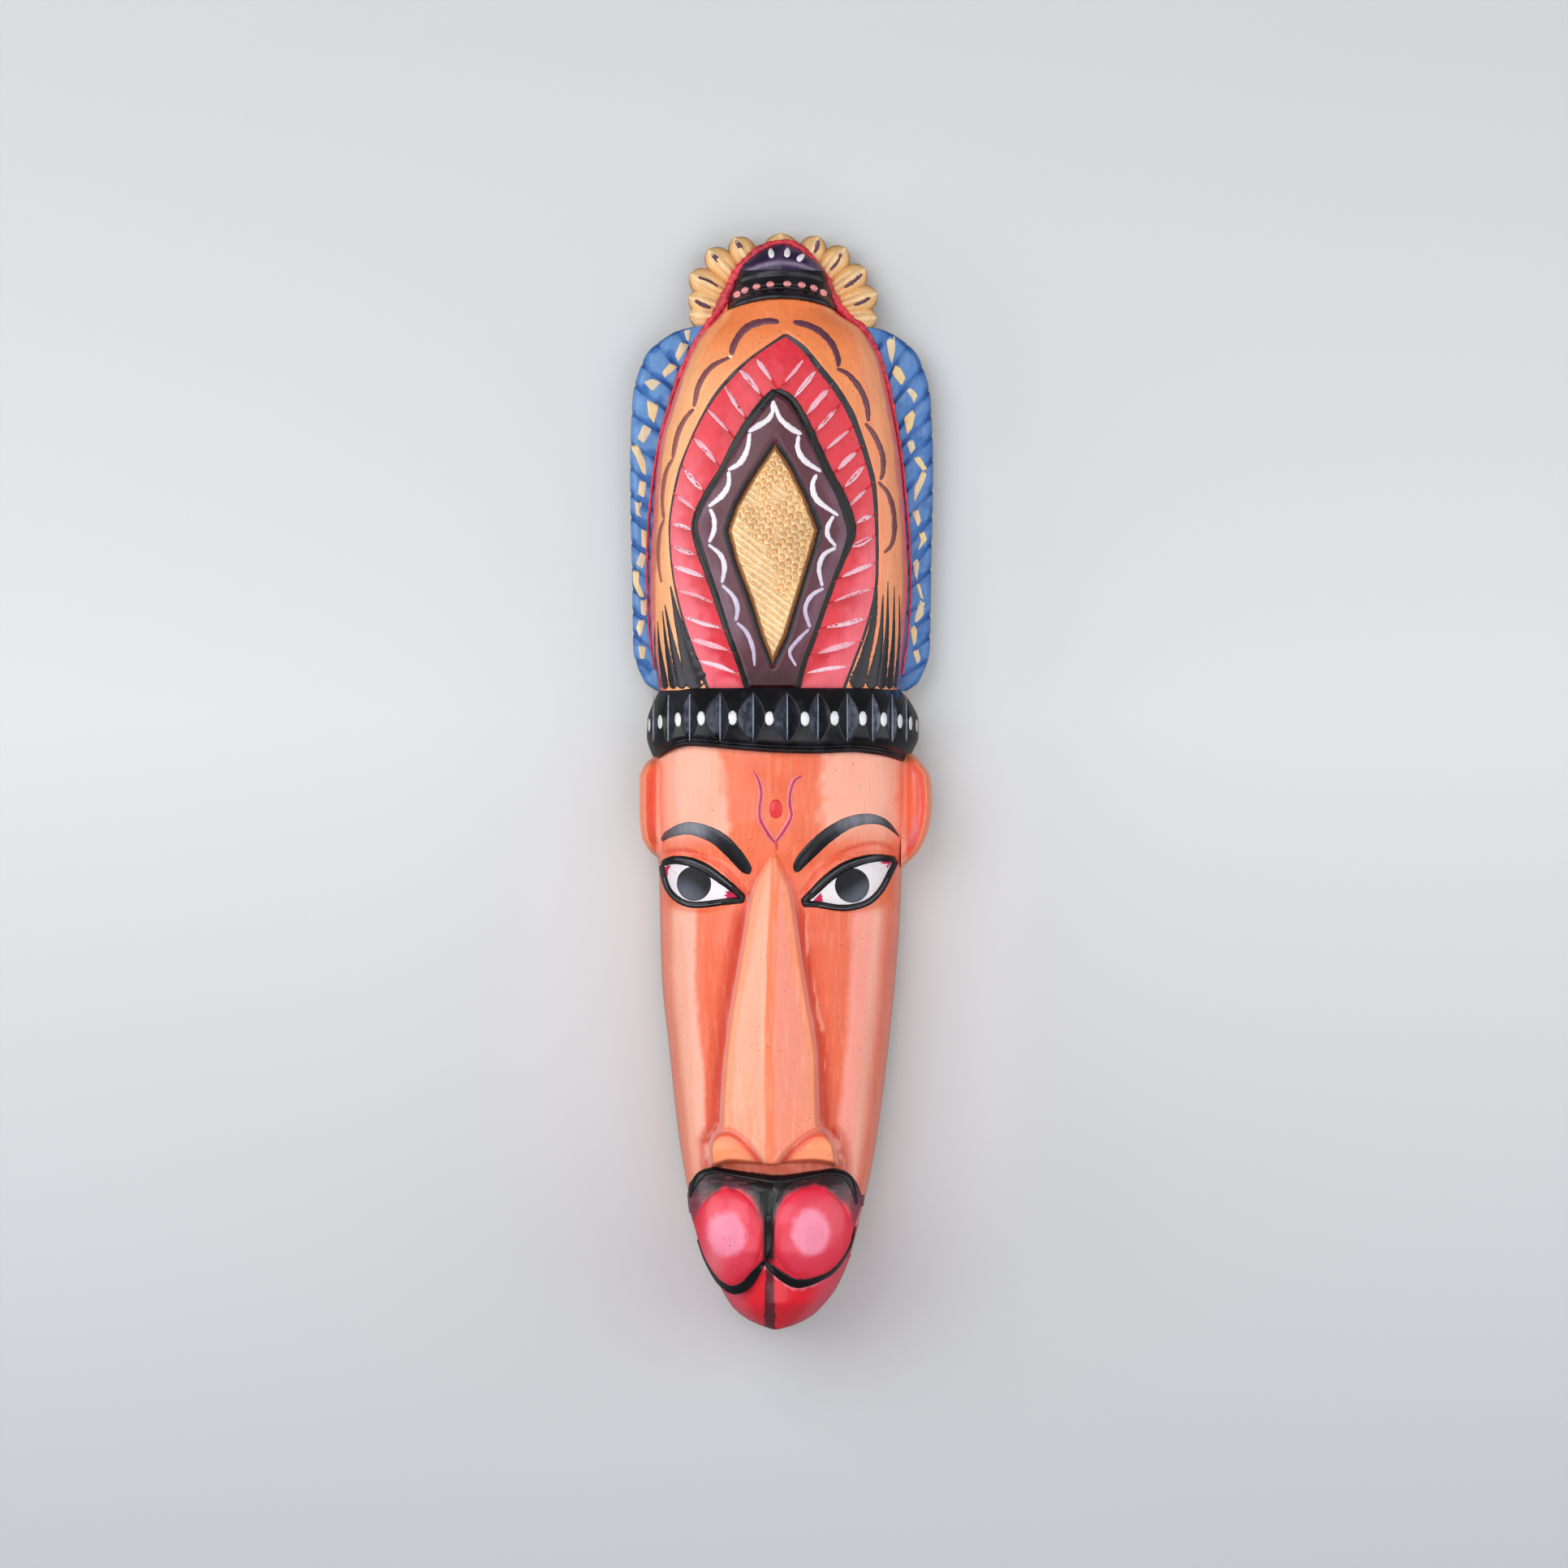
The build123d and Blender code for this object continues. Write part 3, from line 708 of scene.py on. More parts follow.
def paint_dome(x, z, y):
    """Orange with a paler left, partly its own paint and partly painted light, red edges, and the red band
    with its darker steps.
    """
    share = dome.share(x, z)
    # paler left: the orange's own tone, lightened further as painted light
    colour = blend(ORANGE, PEACH, ease(-0.2, -0.9, share) * ease(66, 40, z))
    colour = layers(
        colour,
        (ORANGE_DEEP, ease(40, 70, z) * 0.75),
        (rgb(248, 146, 108), ease(0.62, 0.95, share)))
    # peach band and pink edge: painted light against the shade on the steep sides, laid over the pink and
    # red edge paint; drift only wobbles their borders
    drift = 0.03 * noise(x, z, 6, 41)
    colour = layers(
        colour,
        (PEACH, ease(0.80, 0.86, np.abs(share) + drift) * 0.5),
        (rgb(206, 96, 84), ease(0.945, 0.96, np.abs(share) + drift * 0.3) * 0.7),
        (PINK_EDGE, ease(0.965, 0.98, np.abs(share) + drift * 0.2)),
        (RED_EDGE, ease(0.990, 0.998, np.abs(share)) * 0.7))
    within = inside(x, z, ogive_outline)
    shade = band_share(x, z)
    outer = line_distance(x, z, ogive_outline)
    inner = line_distance(x, z, panel_outline)
    toward = inner / (inner + outer + 0.1)
    low_left = ease(30, -10, z) * np.where(x < 0, 1.0, ease(10, -30, z))
    band = blend(RED, PINK, low_left * ease(0.25, 0.7, toward + 0.2 * noise(x, z, 3, 42))
                 * (0.6 + 0.4 * shade))
    band = blend(band, RED_DEEP, ease(0.5, 0.05, shade) * 0.95 * ease(0.95, 0.3, toward))
    band = blend(band, RED_DEEP, ease(-52, -68, z) * ease(0.6, 0.2, toward) * 0.8)
    streak = 0.5 + 0.5 * noise(x, z, 1.4, 43)
    band = blend(band, PINK, streak * 0.10)
    return np.where(within[..., None], band, colour)


MAROON, MAROON_DARK, MAUVE = rgb(84, 22, 42), rgb(54, 12, 28), rgb(124, 88, 110)


def paint_panel(x, z, y):
    """Maroon, with mauve shading outside the lace and dark at the foot."""
    edge = line_distance(x, z, panel_outline)
    pale = ease(22, -5, z) * ease(-66, -45, z) * ease(6.0, 3.0, edge)
    colour = blend(MAROON, MAUVE, pale * (0.55 + 0.25 * noise(x, z, 5, 51)))
    inner = line_distance(x, z, lozenge_outline)
    colour = layers(
        colour,
        (MAROON, ease(6, 2, inner) * 0.8),
        (rgb(128, 24, 44), ease(2.2, 1.2, edge) * ease(0.2, 0.6, noise(x, z, 4, 52)) * 0.8))
    return blend(colour, MAROON_DARK, ease(-58, -70, z))


def paint_lozenge(x, z, y):
    """Gold, with painted shade in the scored lines and gouges and painted highlights on the ridges, both
    taken from the carving's height.
    """
    low = work_lozenge(x, z)
    # painted shade where the carving is low, painted highlight where it is high
    colour = blend(rgb(204, 142, 88), rgb(238, 192, 134), ease(-0.5, 0.5, low))
    return blend(colour, rgb(255, 228, 184), ease(0.45, 0.9, low) * 0.7)


def half_piece(name, host, low, high, rows, cols, paint, materials, slot, *nodes):
    """A half-round carving with a flat back."""
    carve(name, host.grid(low, high, rows, cols), -host.back, paint, materials, slot, *nodes)


def slab_grid(left, right, low, high, rows, cols, host):
    """Grid between two edges given as (x, z) points, on the front of a host."""
    left, right = (curve(*[(b, a) for a, b in side]) for side in (left, right))
    z = np.linspace(low, high, rows)[:, None] * np.ones(cols)
    share = np.linspace(0, 1, cols)[None, :]
    x = left(z) + (right(z) - left(z)) * share
    return x, z, host.y(x, z)


half_piece("crown_dome_carved", dome, DOME_FOOT, DOME_TOP, 300, 300, paint_dome, [GLOSS, BARE_WOOD],
           "crown_paint", "crown_dome")

carve("centre_panel_carved", slab_grid(PANEL_LEFT, PANEL, DOME_FOOT, 38.6, 280, 150, panel_face), -33.0,
      paint_panel, [GLOSS, BARE_WOOD], "panel_paint", "centre_panel")
carve("gold_lozenge_carved", slab_grid(LOZENGE_LEFT, LOZENGE, -62.4, 18.5, 330, 150, lozenge_face), -37.0,
      paint_lozenge, [GOLD, BARE_WOOD], "gold_paint", "gold_lozenge")

INK = rgb(14, 14, 18)
INK_WORN = rgb(44, 46, 54)

outlines = Strokes()
OUTLINE_WIDTHS = ((dome, INK_WORN, 0.22, OGIVE, (1.4, 2.2, 2.6, 2.8, 3, 2.6, 2.4, 2.2, 1.8, 1.5, 1.3, 1.2,
    1.2, 1.2, 1.2, 1.4)), (dome, INK_WORN, 0.22, OGIVE_LEFT, (1.4, 1, 1.1, 1.6, 1.3, 0.8, 0.7, 1, 0.9, 0.7,
    0.7, 0.7, 0.8, 1, 1.1, 1.4)), (panel_face, INK, 0.3, PANEL, (2.6, 3.2, 3.4, 3.2, 3.4, 3.8, 4.2, 3.6,
    2.4, 2, 2, 2, 2, 2.2)), (panel_face, INK, 0.3, PANEL_LEFT, (2.6, 3.4, 2.8, 2.4, 2.4, 2.6, 2.6, 2.4, 3,
    2.8, 2.6, 2.4, 2.2, 2.2)))
for host, colour, lift, points, wide in OUTLINE_WIDTHS:
    outlines.brush(host, widths(points, wide), colour, lift)
for points, out in ((LOZENGE, 0.7), (LOZENGE_LEFT, -0.7)):
    outlines.brush(panel_face, [(x + out, z, 2.5) for x, z in points], INK_WORN, 0.2)
outlines.piece("carved_outlines", BLACK, "black_paint")

RAY_PAINT = rgb(244, 206, 220)
rays = Strokes()
for number, ((ax, az), (bx, bz)) in enumerate(RAYS_LEFT + RAYS_RIGHT):
    bend = 0.5 * math.sin(number * 2.1)
    wide = 1.75 + 0.45 * math.sin(number * 1.7)
    mx, mz = (ax + bx) / 2 + bend * 0.3, (az + bz) / 2 + bend
    rays.brush(dome, [(ax, az, 0.5), ((ax + mx) / 2, (az + mz) / 2, wide), (mx, mz, wide * 1.05),
                      ((bx + mx) / 2, (bz + mz) / 2, wide * 0.9), (bx, bz, 0.45)],
               blend(RAY_PAINT, rgb(240, 170, 184), 0.4 + 0.4 * math.sin(number * 3.3)), 0.22, ragged=0.2)
rays.piece("red_band_rays", STROKE, "crown_paint")

BROWN = rgb(98, 56, 74)
BROWN_PALE = rgb(166, 98, 84)
curls = Strokes()
CURLS_LEFT = [
    [(-0.9, 64.2, 1.8), (-5.4, 64.5, 2.4), (-11.4, 63, 2.7), (-15.3, 59.7, 2.5), (-17.7, 55.5, 2.3),
        (-18.6, 51.9, 1.7)],
    [(-19.2, 51, 1.3), (-24.9, 48.3, 1.9), (-28.5, 44.7, 2.1), (-30.9, 39.9, 2.1), (-31.8, 35.7, 1.8),
        (-32.4, 32.7, 1.2)],
    [(-32.4, 32.1, 1.2), (-35.4, 28.8, 1.7), (-38.1, 23.7, 1.9), (-39.6, 17.7, 1.7), (-40.2, 13.8, 1.2)],
    [(-40.2, 13.8, 1.1), (-42.6, 9.3, 1.6), (-43.8, 3.3, 1.7), (-44.1, -2.7, 1.4), (-43.5, -8.7, 1)],
    [(-43.5, -8.7, 1), (-45, -13.2, 1.4), (-45.6, -20.7, 1.5), (-45.3, -26.7, 1.2), (-44.4, -32.1, 0.8)]]
CURLS_RIGHT = [
    [(4.2, 64.2, 1.8), (9.6, 63, 2.5), (14.7, 60.3, 2.6), (18.9, 55.5, 2.4), (21, 49.8, 2),
        (20.7, 47.4, 1.4)],
    [(20.4, 46.8, 1.3), (24.6, 44.7, 1.9), (29.1, 39.3, 2.2), (31.5, 33.3, 2), (32.1, 27.3, 1.3)],
    [(30.9, 26.7, 1.2), (34.5, 21.9, 1.9), (37.2, 15.3, 2.1), (37.5, 9.3, 1.8), (36.6, 5.7, 1.2)],
    [(35.7, 5.1, 1.2), (39.3, 0.9, 1.8), (41.4, -5.7, 2), (41.7, -13.2, 1.9), (40.5, -18.3, 1.5),
        (37.8, -21.3, 0.9)]]
for number, points in enumerate(CURLS_LEFT):
    curls.brush(dome, widened(points, 1.15), blend(BROWN, BROWN_PALE, number / 4), 0.28, 0.14,
                blend(BROWN, BROWN_PALE, (number + 1) / 4))
for number, points in enumerate(CURLS_RIGHT):
    curls.brush(dome, widened(points, 1.15), blend(BROWN, BROWN_PALE, number / 9), 0.28, 0.14)
curls.spot(dome, -18.9, 51.3, 1.7, 1.3, rgb(244, 226, 206), 0.35)
curls.spot(dome, -32.3, 32.3, 1.0, 0.8, rgb(240, 200, 170), 0.3)
HAIR = rgb(40, 37, 44)
HAIRS = [
    [(-41.1, -33.3, 0.5), (-38.3, -46, 3), (-35.4, -56.7, 5.6), (-30.8, -71.4, 8.2)],
    [(-43.2, -40.2, 0.4), (-41.3, -50, 1.7), (-39.9, -56.7, 2.7), (-36.4, -71.4, 3.6)],
    [(-44.1, -42.3, 0.3), (-43, -52, 1.2), (-42.3, -56.7, 1.8), (-39.8, -71.4, 2.8)],
    [(-45.9, -46.2, 0.3), (-45.1, -56.7, 1.4), (-42.9, -71.4, 2.4)],
    [(-47, -48.5, 0.3), (-46.9, -59.7, 1), (-45.2, -71, 1.3)],
    [(35.1, -26.7, 0.4), (34.2, -44.7, 2.4), (29.9, -62.7, 5.2), (27, -71.4, 6.4)],
    [(37.5, -36.6, 0.4), (36.4, -53.7, 2.5), (32.9, -71.4, 4.2)],
    [(39.3, -31.5, 0.3), (38.9, -50.7, 1.8), (36.8, -71.4, 3.2)],
    [(41.7, -33.3, 0.3), (41.3, -53.7, 1.6), (39.9, -71.4, 2.6)],
    [(43.6, -36.6, 0.3), (43.6, -53.7, 1.1), (42.2, -71, 1.6)]]
for points in HAIRS:
    curls.brush(dome, [(x, z, w * (1.35 if z < -70 else 1)) for x, z, w in points], HAIR, 0.22, ragged=0.10)
curls.piece("crown_brush_strokes", BLACK, "crown_paint")

LACE, LACE_LOW = rgb(244, 240, 244), rgb(200, 184, 214)
lace = Strokes()
LACE_STROKES = [
    [(-3, 34.8, 1), (-3, 32.4, 2), (-2.6, 30.3, 1.4)],
    [(-2.4, 33.3, 1), (-4.5, 28.2, 1.6), (-9.3, 24.9, 1.9), (-12.3, 23.1, 1.2)],
    [(-11.7, 22.8, 1.1), (-12.6, 16.8, 1.7), (-15.3, 11.7, 1.9), (-19.8, 9, 1.1)],
    [(-19.5, 8.7, 1.1), (-19.5, 3.9, 1.6), (-21.9, -0.3, 1.9), (-27, -4.5, 1)],
    [(-26.4, -5.1, 1.1), (-24.9, -8.7, 1.5), (-24.9, -13.2, 1.6), (-26.7, -17.7, 1.1)],
    [(-27, -18.3, 1), (-22.5, -22.2, 1.5), (-21, -26.7, 1.6), (-21.9, -32.7, 1.1)],
    [(-21.9, -33.3, 1), (-18, -37.2, 1.5), (-16.2, -41.7, 1.5), (-16.8, -46.8, 1)],
    [(-16.5, -47.1, 0.9), (-12.9, -50.7, 1.3), (-10.5, -56.7, 1.4), (-9.9, -63.3, 0.7)],
    [(-2.4, 33.3, 1), (-0.6, 28.2, 1.5), (3.6, 24.3, 1.9), (7.5, 22.2, 1.2)],
    [(6.3, 21.9, 1.1), (6, 16.8, 1.6), (8.7, 12.3, 1.9), (14.7, 8.4, 1)],
    [(12.9, 7.5, 1.1), (11.4, 3.3, 1.6), (13.2, -2.1, 1.9), (21, -7.8, 1)],
    [(19.2, -7.8, 1.1), (17.1, -11.7, 1.5), (17.1, -15.3, 1.5), (20.1, -19.2, 1)],
    [(20.1, -19.5, 1), (15.6, -22.2, 1.5), (13.8, -27.3, 1.5), (15, -33.9, 1)],
    [(15.6, -34.5, 1), (11.1, -37.2, 1.4), (8.7, -42.3, 1.4), (10.5, -49.2, 1)],
    [(10.2, -49.5, 0.9), (6, -53.7, 1.3), (3, -58.2, 1.2), (5.4, -63.3, 0.7)]]
for points in LACE_STROKES:
    low = ease(-2, -55, points[1][1])
    lace.brush(panel_face, widened(points, 1.3), blend(LACE, LACE_LOW, low), 0.34, ragged=0.16,
               end_colour=blend(LACE, LACE_LOW, min(1.0, float(low) + 0.25)))
lace.piece("panel_lace", STROKE, "panel_paint")

# ---------------------------------------------------------------- finial, petals, wings
collar_left = curve((69.4, -20.8), (77, -18.8), (84, -16.4))
collar_right = curve((69.4, 20.8), (77, 18.8), (84, 16.4))


def work_collar(x, z):
    """Foot roll that follows the dome's shoulder, then a thin ridge and a hollow above it."""
    over = z - collar_arc(x)
    out = 0.9 * bell(over - 1.4, 1.5) - 0.9 * bell(over - 4.0, 0.9)
    out = out + 0.55 * bell(over - 5.6, 0.8) - 0.7 * bell(over - 8.6, 1.2)
    return out + 0.12 * noise(x, z, 4, 61) - 3.0 * ease(0.3, -0.3, over)


collar = HalfRound(collar_left, collar_right, curve((69.4, 29.6), (74, 27.6), (78, 26.0), (84, 23.5)),
                   CROWN_BACK, 0.9, work_collar)
cap = HalfRound(curve((84, -16.4), (86.5, -14.8), (89, -12.0), (91.5, -8.2), (93.2, -4.6), (94.4, -0.9)),
                curve((84, 16.4), (86.5, 14.6), (89, 11.6), (91.5, 7.8), (93.2, 4.4), (94.4, 0.9)),
                curve((84, 23.6), (86.5, 22.9), (89, 21.3), (91.5, 18.8), (93.2, 16.6), (94.4, 13)),
                CROWN_BACK, 0.85, lambda x, z: 0.15 * noise(x, z, 5, 62))


def paint_plain(colour, drift, size, seed, share=0.5):
    """Paint of one colour, rubbed towards another in clouds."""
    def paint(x, z, y):
        return blend(colour, drift, share * ease(-0.3, 0.9, noise(x, z, size, seed)))
    return paint


def paint_cap(x, z, y):
    colour = blend(rgb(46, 28, 62), rgb(86, 70, 100), ease(0.0, 0.8, noise(x, z, 4, 63)))
    return blend(colour, rgb(148, 134, 160), bell(z - 86.6 + 0.02 * x * x, 0.9) * 0.8)


half_piece("finial_collar_turned", collar, 69.4, 84.0, 70, 110,
           paint_plain(rgb(18, 17, 22), rgb(46, 46, 56), 5, 64), [BLACK, BARE_WOOD], "black_paint",
           "finial_collar")
half_piece("finial_cap_painted", cap, 83.9, 94.4, 60, 90, paint_cap, [BLACK, BARE_WOOD], "cap_paint",
           "finial_cap")

trim = Strokes()
for x, z, tilt in ((-3.9, 90.4, 8), (2.1, 90.6, -4), (7.2, 88.8, -40)):
    trim.spot(cap, x, z, 2.9, 4.1, rgb(244, 238, 240), 0.5, turn=tilt, pinch=0.45)
for x, z in ((-16.6, 73.6), (-13.6, 75), (-9.3, 76.2), (-4.2, 77), (2.1, 77.2), (7.5, 76.8), (12, 75.8),
    (15.6, 74.2)):
    trim.spot(collar, x, z + 1.4, 3.0, 2.4, rgb(240, 150, 150), 0.45, turn=-2.2 * x)
trim.piece("finial_spots", STROKE, "cap_paint")

FAN_MIDDLE = (0.0, 64.0)
WIDE_PETAL = 5     # the top one
PETALS = [(173, 34.6), (163, 36.2), (150.6, 39.2), (134.2, 39.4), (118.0, 37.2), (90.5, 34.4), (67.6, 36.0),
          (50.6, 37.6), (34.0, 37.8), (18.6, 37.6), (4.6, 35.6)]     # direction and reach of each


def petal_mesh(number):
    """One rounded petal with a ridge down its middle, as a closed grid."""
    degrees, tip = PETALS[number]
    angle = math.radians(degrees)
    rows, cols = 34, 25
    u = np.linspace(0, 1, rows)[:, None] * np.ones(cols)
    v = np.linspace(-1, 1, cols)[None, :] * np.ones((rows, 1))
    reach = 10 + (tip - 10) * u
    crest = curve((0, 0.62), (0.5, 0.86), (0.74, 1.0), (0.88, 0.84), (0.96, 0.52), (1, 0.10))
    half = (6.6 if number == WIDE_PETAL else 5.35) * crest(u)
    across = v * half
    high = 9.0 + 3.4 * (1 - np.abs(v) ** 1.6) - 2.4 * ease(0.80, 1.0, u) - 0.9 * ease(0.6, 0.2, u)
    high = high + 0.34 * np.cos(v * 11) * ease(1.0, 0.6,
                                               u) + 0.02 * number + 0.12 * noise(across + number * 9,
        reach, 2.0, 66)
    x = FAN_MIDDLE[0] + reach * math.cos(angle) - across * math.sin(angle)
    z = FAN_MIDDLE[1] + reach * math.sin(angle) + across * math.cos(angle)
    # painted light on the petal: lighter along its middle and towards its tip, painted shade on its edges
    # and in the grooves between its ridges, painted highlight on its crest
    shade = (1 - np.abs(v)) * 0.6 + 0.4 * ease(0.3, 0.8, u)
    colour = blend(rgb(232, 180, 118), rgb(240, 194, 134), shade)
    colour = layers(
        colour,
        (rgb(150, 82, 44), ease(0.84, 1.0, np.abs(v) + 0.05 * np.cos(u * 40)) * 0.85),
        (rgb(196, 130, 78), ease(0.3, 0.9, -np.cos(v * 11)) * 0.5),
        (rgb(250, 216, 164), ease(0.6, 0.95, shade + 0.1 * noise(across, reach, 2.5, 67)) * 0.6))
    return x, z, -high, colour


def join_reliefs(name, parts, backs, materials):
    """One object from several closed relief grids."""
    verts, faces, tint, slots, flats, total = [], [], [], [], [], 0
    for (x, z, y, colour), back in zip(parts, backs):
        obj = relief(name + "_part", x, z, y, back, colour, materials)
        mesh = obj.data
        co = np.empty(len(mesh.vertices) * 3)
        mesh.vertices.foreach_get("co", co)
        verts.append(co.reshape(-1, 3) / MM)
        shade = np.empty(len(mesh.vertices) * 4, np.float32)
        mesh.color_attributes["paint"].data.foreach_get("color", shade)
        tint.append(shade.reshape(-1, 4)[:, :3])
        for p in mesh.polygons:
            faces.append([v + total for v in p.vertices])
            slots.append(p.material_index)
            if not p.use_smooth:
                flats.append(len(faces) - 1)
        total += len(mesh.vertices)
        bpy.data.objects.remove(obj)
        bpy.data.meshes.remove(mesh)
    return make_object(name, np.vstack(verts), faces, materials, np.vstack(tint), slots, flats)


ROOT_BACK = -0.5     # every back of the fan has its own depth, so that none lies on another


def fan_root():
    """Half disc that the petals spring from, behind the finial."""
    turn = np.radians(np.linspace(-4, 184, 60))[None, :]
    reach = np.linspace(0.2, 30, 12)[:, None]
    x, z = FAN_MIDDLE[0] - reach * np.cos(turn), FAN_MIDDLE[1] + reach * np.sin(turn)
    y = -7.6 + 0.1 * noise(x, z, 3, 68)
    return x, z, y, blend(rgb(150, 84, 44), rgb(206, 150, 92), 0.5 + 0.5 * noise(x, z, 2, 69))


PETAL_BACKS = [-0.9 - 0.15 * n for n in range(len(PETALS))]
finish_piece(join_reliefs("petal_fan_carved", [fan_root()] + [petal_mesh(n) for n in range(len(PETALS))],
                           [ROOT_BACK] + PETAL_BACKS, [GLOSS, BARE_WOOD]),
             "gold_paint", "petal_fan")

fan_face = Face(lambda x, z: np.full(np.shape(x), -12.1))
petal_dashes = Strokes()
for (ax, az), (bx, bz) in (((-17.1, 95.4), (-13.9, 91)), ((-26.1, 90.4), (-20, 85)),
    ((-31, 81.9), (-23.6, 78.1)), ((-32.4, 73.2), (-26.3, 70.3)), ((13.9, 95.6), (12, 90.6)),
    ((22.3, 90.6), (18, 84.4)), ((30, 83), (23.4, 77.9)), ((33, 74.2), (27, 71.4))):
    mx, mz = (ax + bx) / 2, (az + bz) / 2
    petal_dashes.brush(fan_face, [(ax, az, 0.9), (mx, mz, 2.0), (bx, bz, 0.9)], rgb(84, 44, 70), 0.4,
                       ragged=0.2)
for x, z in ((23.0, 91.4), (12.6, 94.4), (28.6, 82.6), (-16.6, 94.8), (-25.6, 90.0)):
    petal_dashes.spot(fan_face, x, z, 0.9, 0.7, rgb(246, 236, 232), 0.6)
petal_dashes.piece("petal_dashes", STROKE, "gold_paint")

BLUE, BLUE_PALE, BLUE_DEEP = rgb(48, 108, 180), rgb(108, 160, 214), rgb(26, 62, 128)
WING_EDGE = [(-72, 46.5), (-68.5, 51), (-56, 55.2), (-32, 55.6), (10, 56.4), (36, 55.5), (52, 51),
    (61.5, 40), (64, 31)]
GROOVES_LEFT = [((-37.5, 60.9), (-33, 52.8)), ((-45.3, 55.8), (-36.9, 46.8)), ((-50.4, 48.3), (-39, 39.3)),
    ((-53.4, 40.8), (-42, 32.1)), ((-55.5, 31.2), (-45, 24.6)), ((-56.1, 19.8), (-45.3, 13.8)),
    ((-56.4, 11.4), (-47.1, 3.9)), ((-55.8, 0.9), (-48.3, -4.2)), ((-55.5, -7.8), (-48, -13.2)),
    ((-55.5, -17.1), (-48.6, -22.2)), ((-55.8, -25.8), (-49.2, -30.3)), ((-55.5, -34.2), (-49.2, -38.7)),
    ((-55.5, -42.6), (-49.5, -46.2)), ((-55.2, -50.7), (-48.3, -56.1)), ((-53.4, -61.2), (-48.9, -63.6))]
GROOVES_RIGHT = [((40.5, 61.8), (34.5, 53.7)), ((47.7, 57.9), (38.7, 42.9)), ((52.5, 48.3), (41.1, 34.8)),
    ((54.6, 39.3), (42.9, 25.2)), ((54.6, 29.4), (44.7, 19.5)), ((54.6, 21.3), (45.6, 12.3)),
    ((53.7, 11.4), (46.2, 2.4)), ((54.6, 0.9), (47.1, -6.9)), ((55.2, -8.1), (47.1, -17.7)),
    ((54.6, -18.3), (47.7, -26.7)), ((54.6, -27.6), (47.7, -33.3)), ((51.6, -40.2), (47.1, -42.3)),
    ((55.2, -43.8), (50.1, -47.7)), ((54.6, -52.2), (50.1, -55.8)), ((51, -62.7), (45.6, -65.7))]


def facing_out(side, *grids):
    """Grids worked out from the middle outwards, turned round on the left so that they face out."""
    return [g[:, ::-1] if side < 0 else g for g in grids]


def groove_depth(x, z, grooves):
    """Distance from the nearest groove, each carried on a little beyond its ends."""
    near = np.full(np.shape(x), 1e9)
    for (ax, az), (bx, bz) in grooves:
        dx, dz = bx - ax, bz - az
        line = np.array([(ax - 0.3 * dx, az - 0.3 * dz), (bx + 0.15 * dx, bz + 0.15 * dz)])
        near = np.minimum(near, line_distance(x, z, line))
    return near


def groove_ends(rim, least):
    """How deep a groove is at a distance from the wing's rim: least in its middle, 1 at its ends."""
    return least + (1 - least) * np.maximum(ease(4.5, 1.0, rim), ease(7.5, 11.0, rim))


def wing_front(x, z, grooves, edge):
    near = groove_depth(x, z, grooves)
    rim = edge - np.abs(x)
    ends = groove_ends(rim, 0.35)
    out = 10.6 + 0.35 * ease(0, 3.0, near) - 0.95 * ends * bell(near, 0.5)
    out = out - 2.6 * (1 - ease(-0.6, 2.6, rim)) + 0.14 * noise(x, z, 3, 71)
    return -out, near


wing_edge = curve(*WING_EDGE)
WING_FOOT, WING_TOP, WING_INNER = -71.8, 64.0, 24.0
for side, grooves in ((-1, GROOVES_LEFT), (1, GROOVES_RIGHT)):
    label = "left" if side < 0 else "right"
    rows, cols = 420, 120
    z = np.linspace(WING_FOOT, WING_TOP, rows)[:, None] * np.ones(cols)
    share = np.linspace(0, 1, cols)[None, :]
    edge = wing_edge(z[:, :1])
    notch = groove_depth(side * edge, z[:, :1], grooves)
    edge = edge - 0.35 * bell(notch, 0.7)
    x = side * (WING_INNER + (edge - WING_INNER) * share)
    y, near = wing_front(x, z, grooves, edge)
    pale = 0.6 if side < 0 else 0.34
    colour = blend(BLUE, BLUE_PALE, pale * ease(0.8, 2.6, near + 2.4 * noise(x, z, 3.4, 72)))
    rim = edge - np.abs(x)
    colour = layers(
        colour,
        (BLUE_DEEP, ease(1.0, 0.2, near) * 0.6 * groove_ends(rim, 0.25)),
        (BLUE_DEEP, ease(2.2, 0.2, rim) * 0.35))
    x, z, y, colour = facing_out(side, x, z, y, colour)
    finish_piece(relief(label + "_wing_carved", x, z, y, 0.0, colour, [GLOSS, BARE_WOOD]), "blue_paint",
                 label + "_wing")

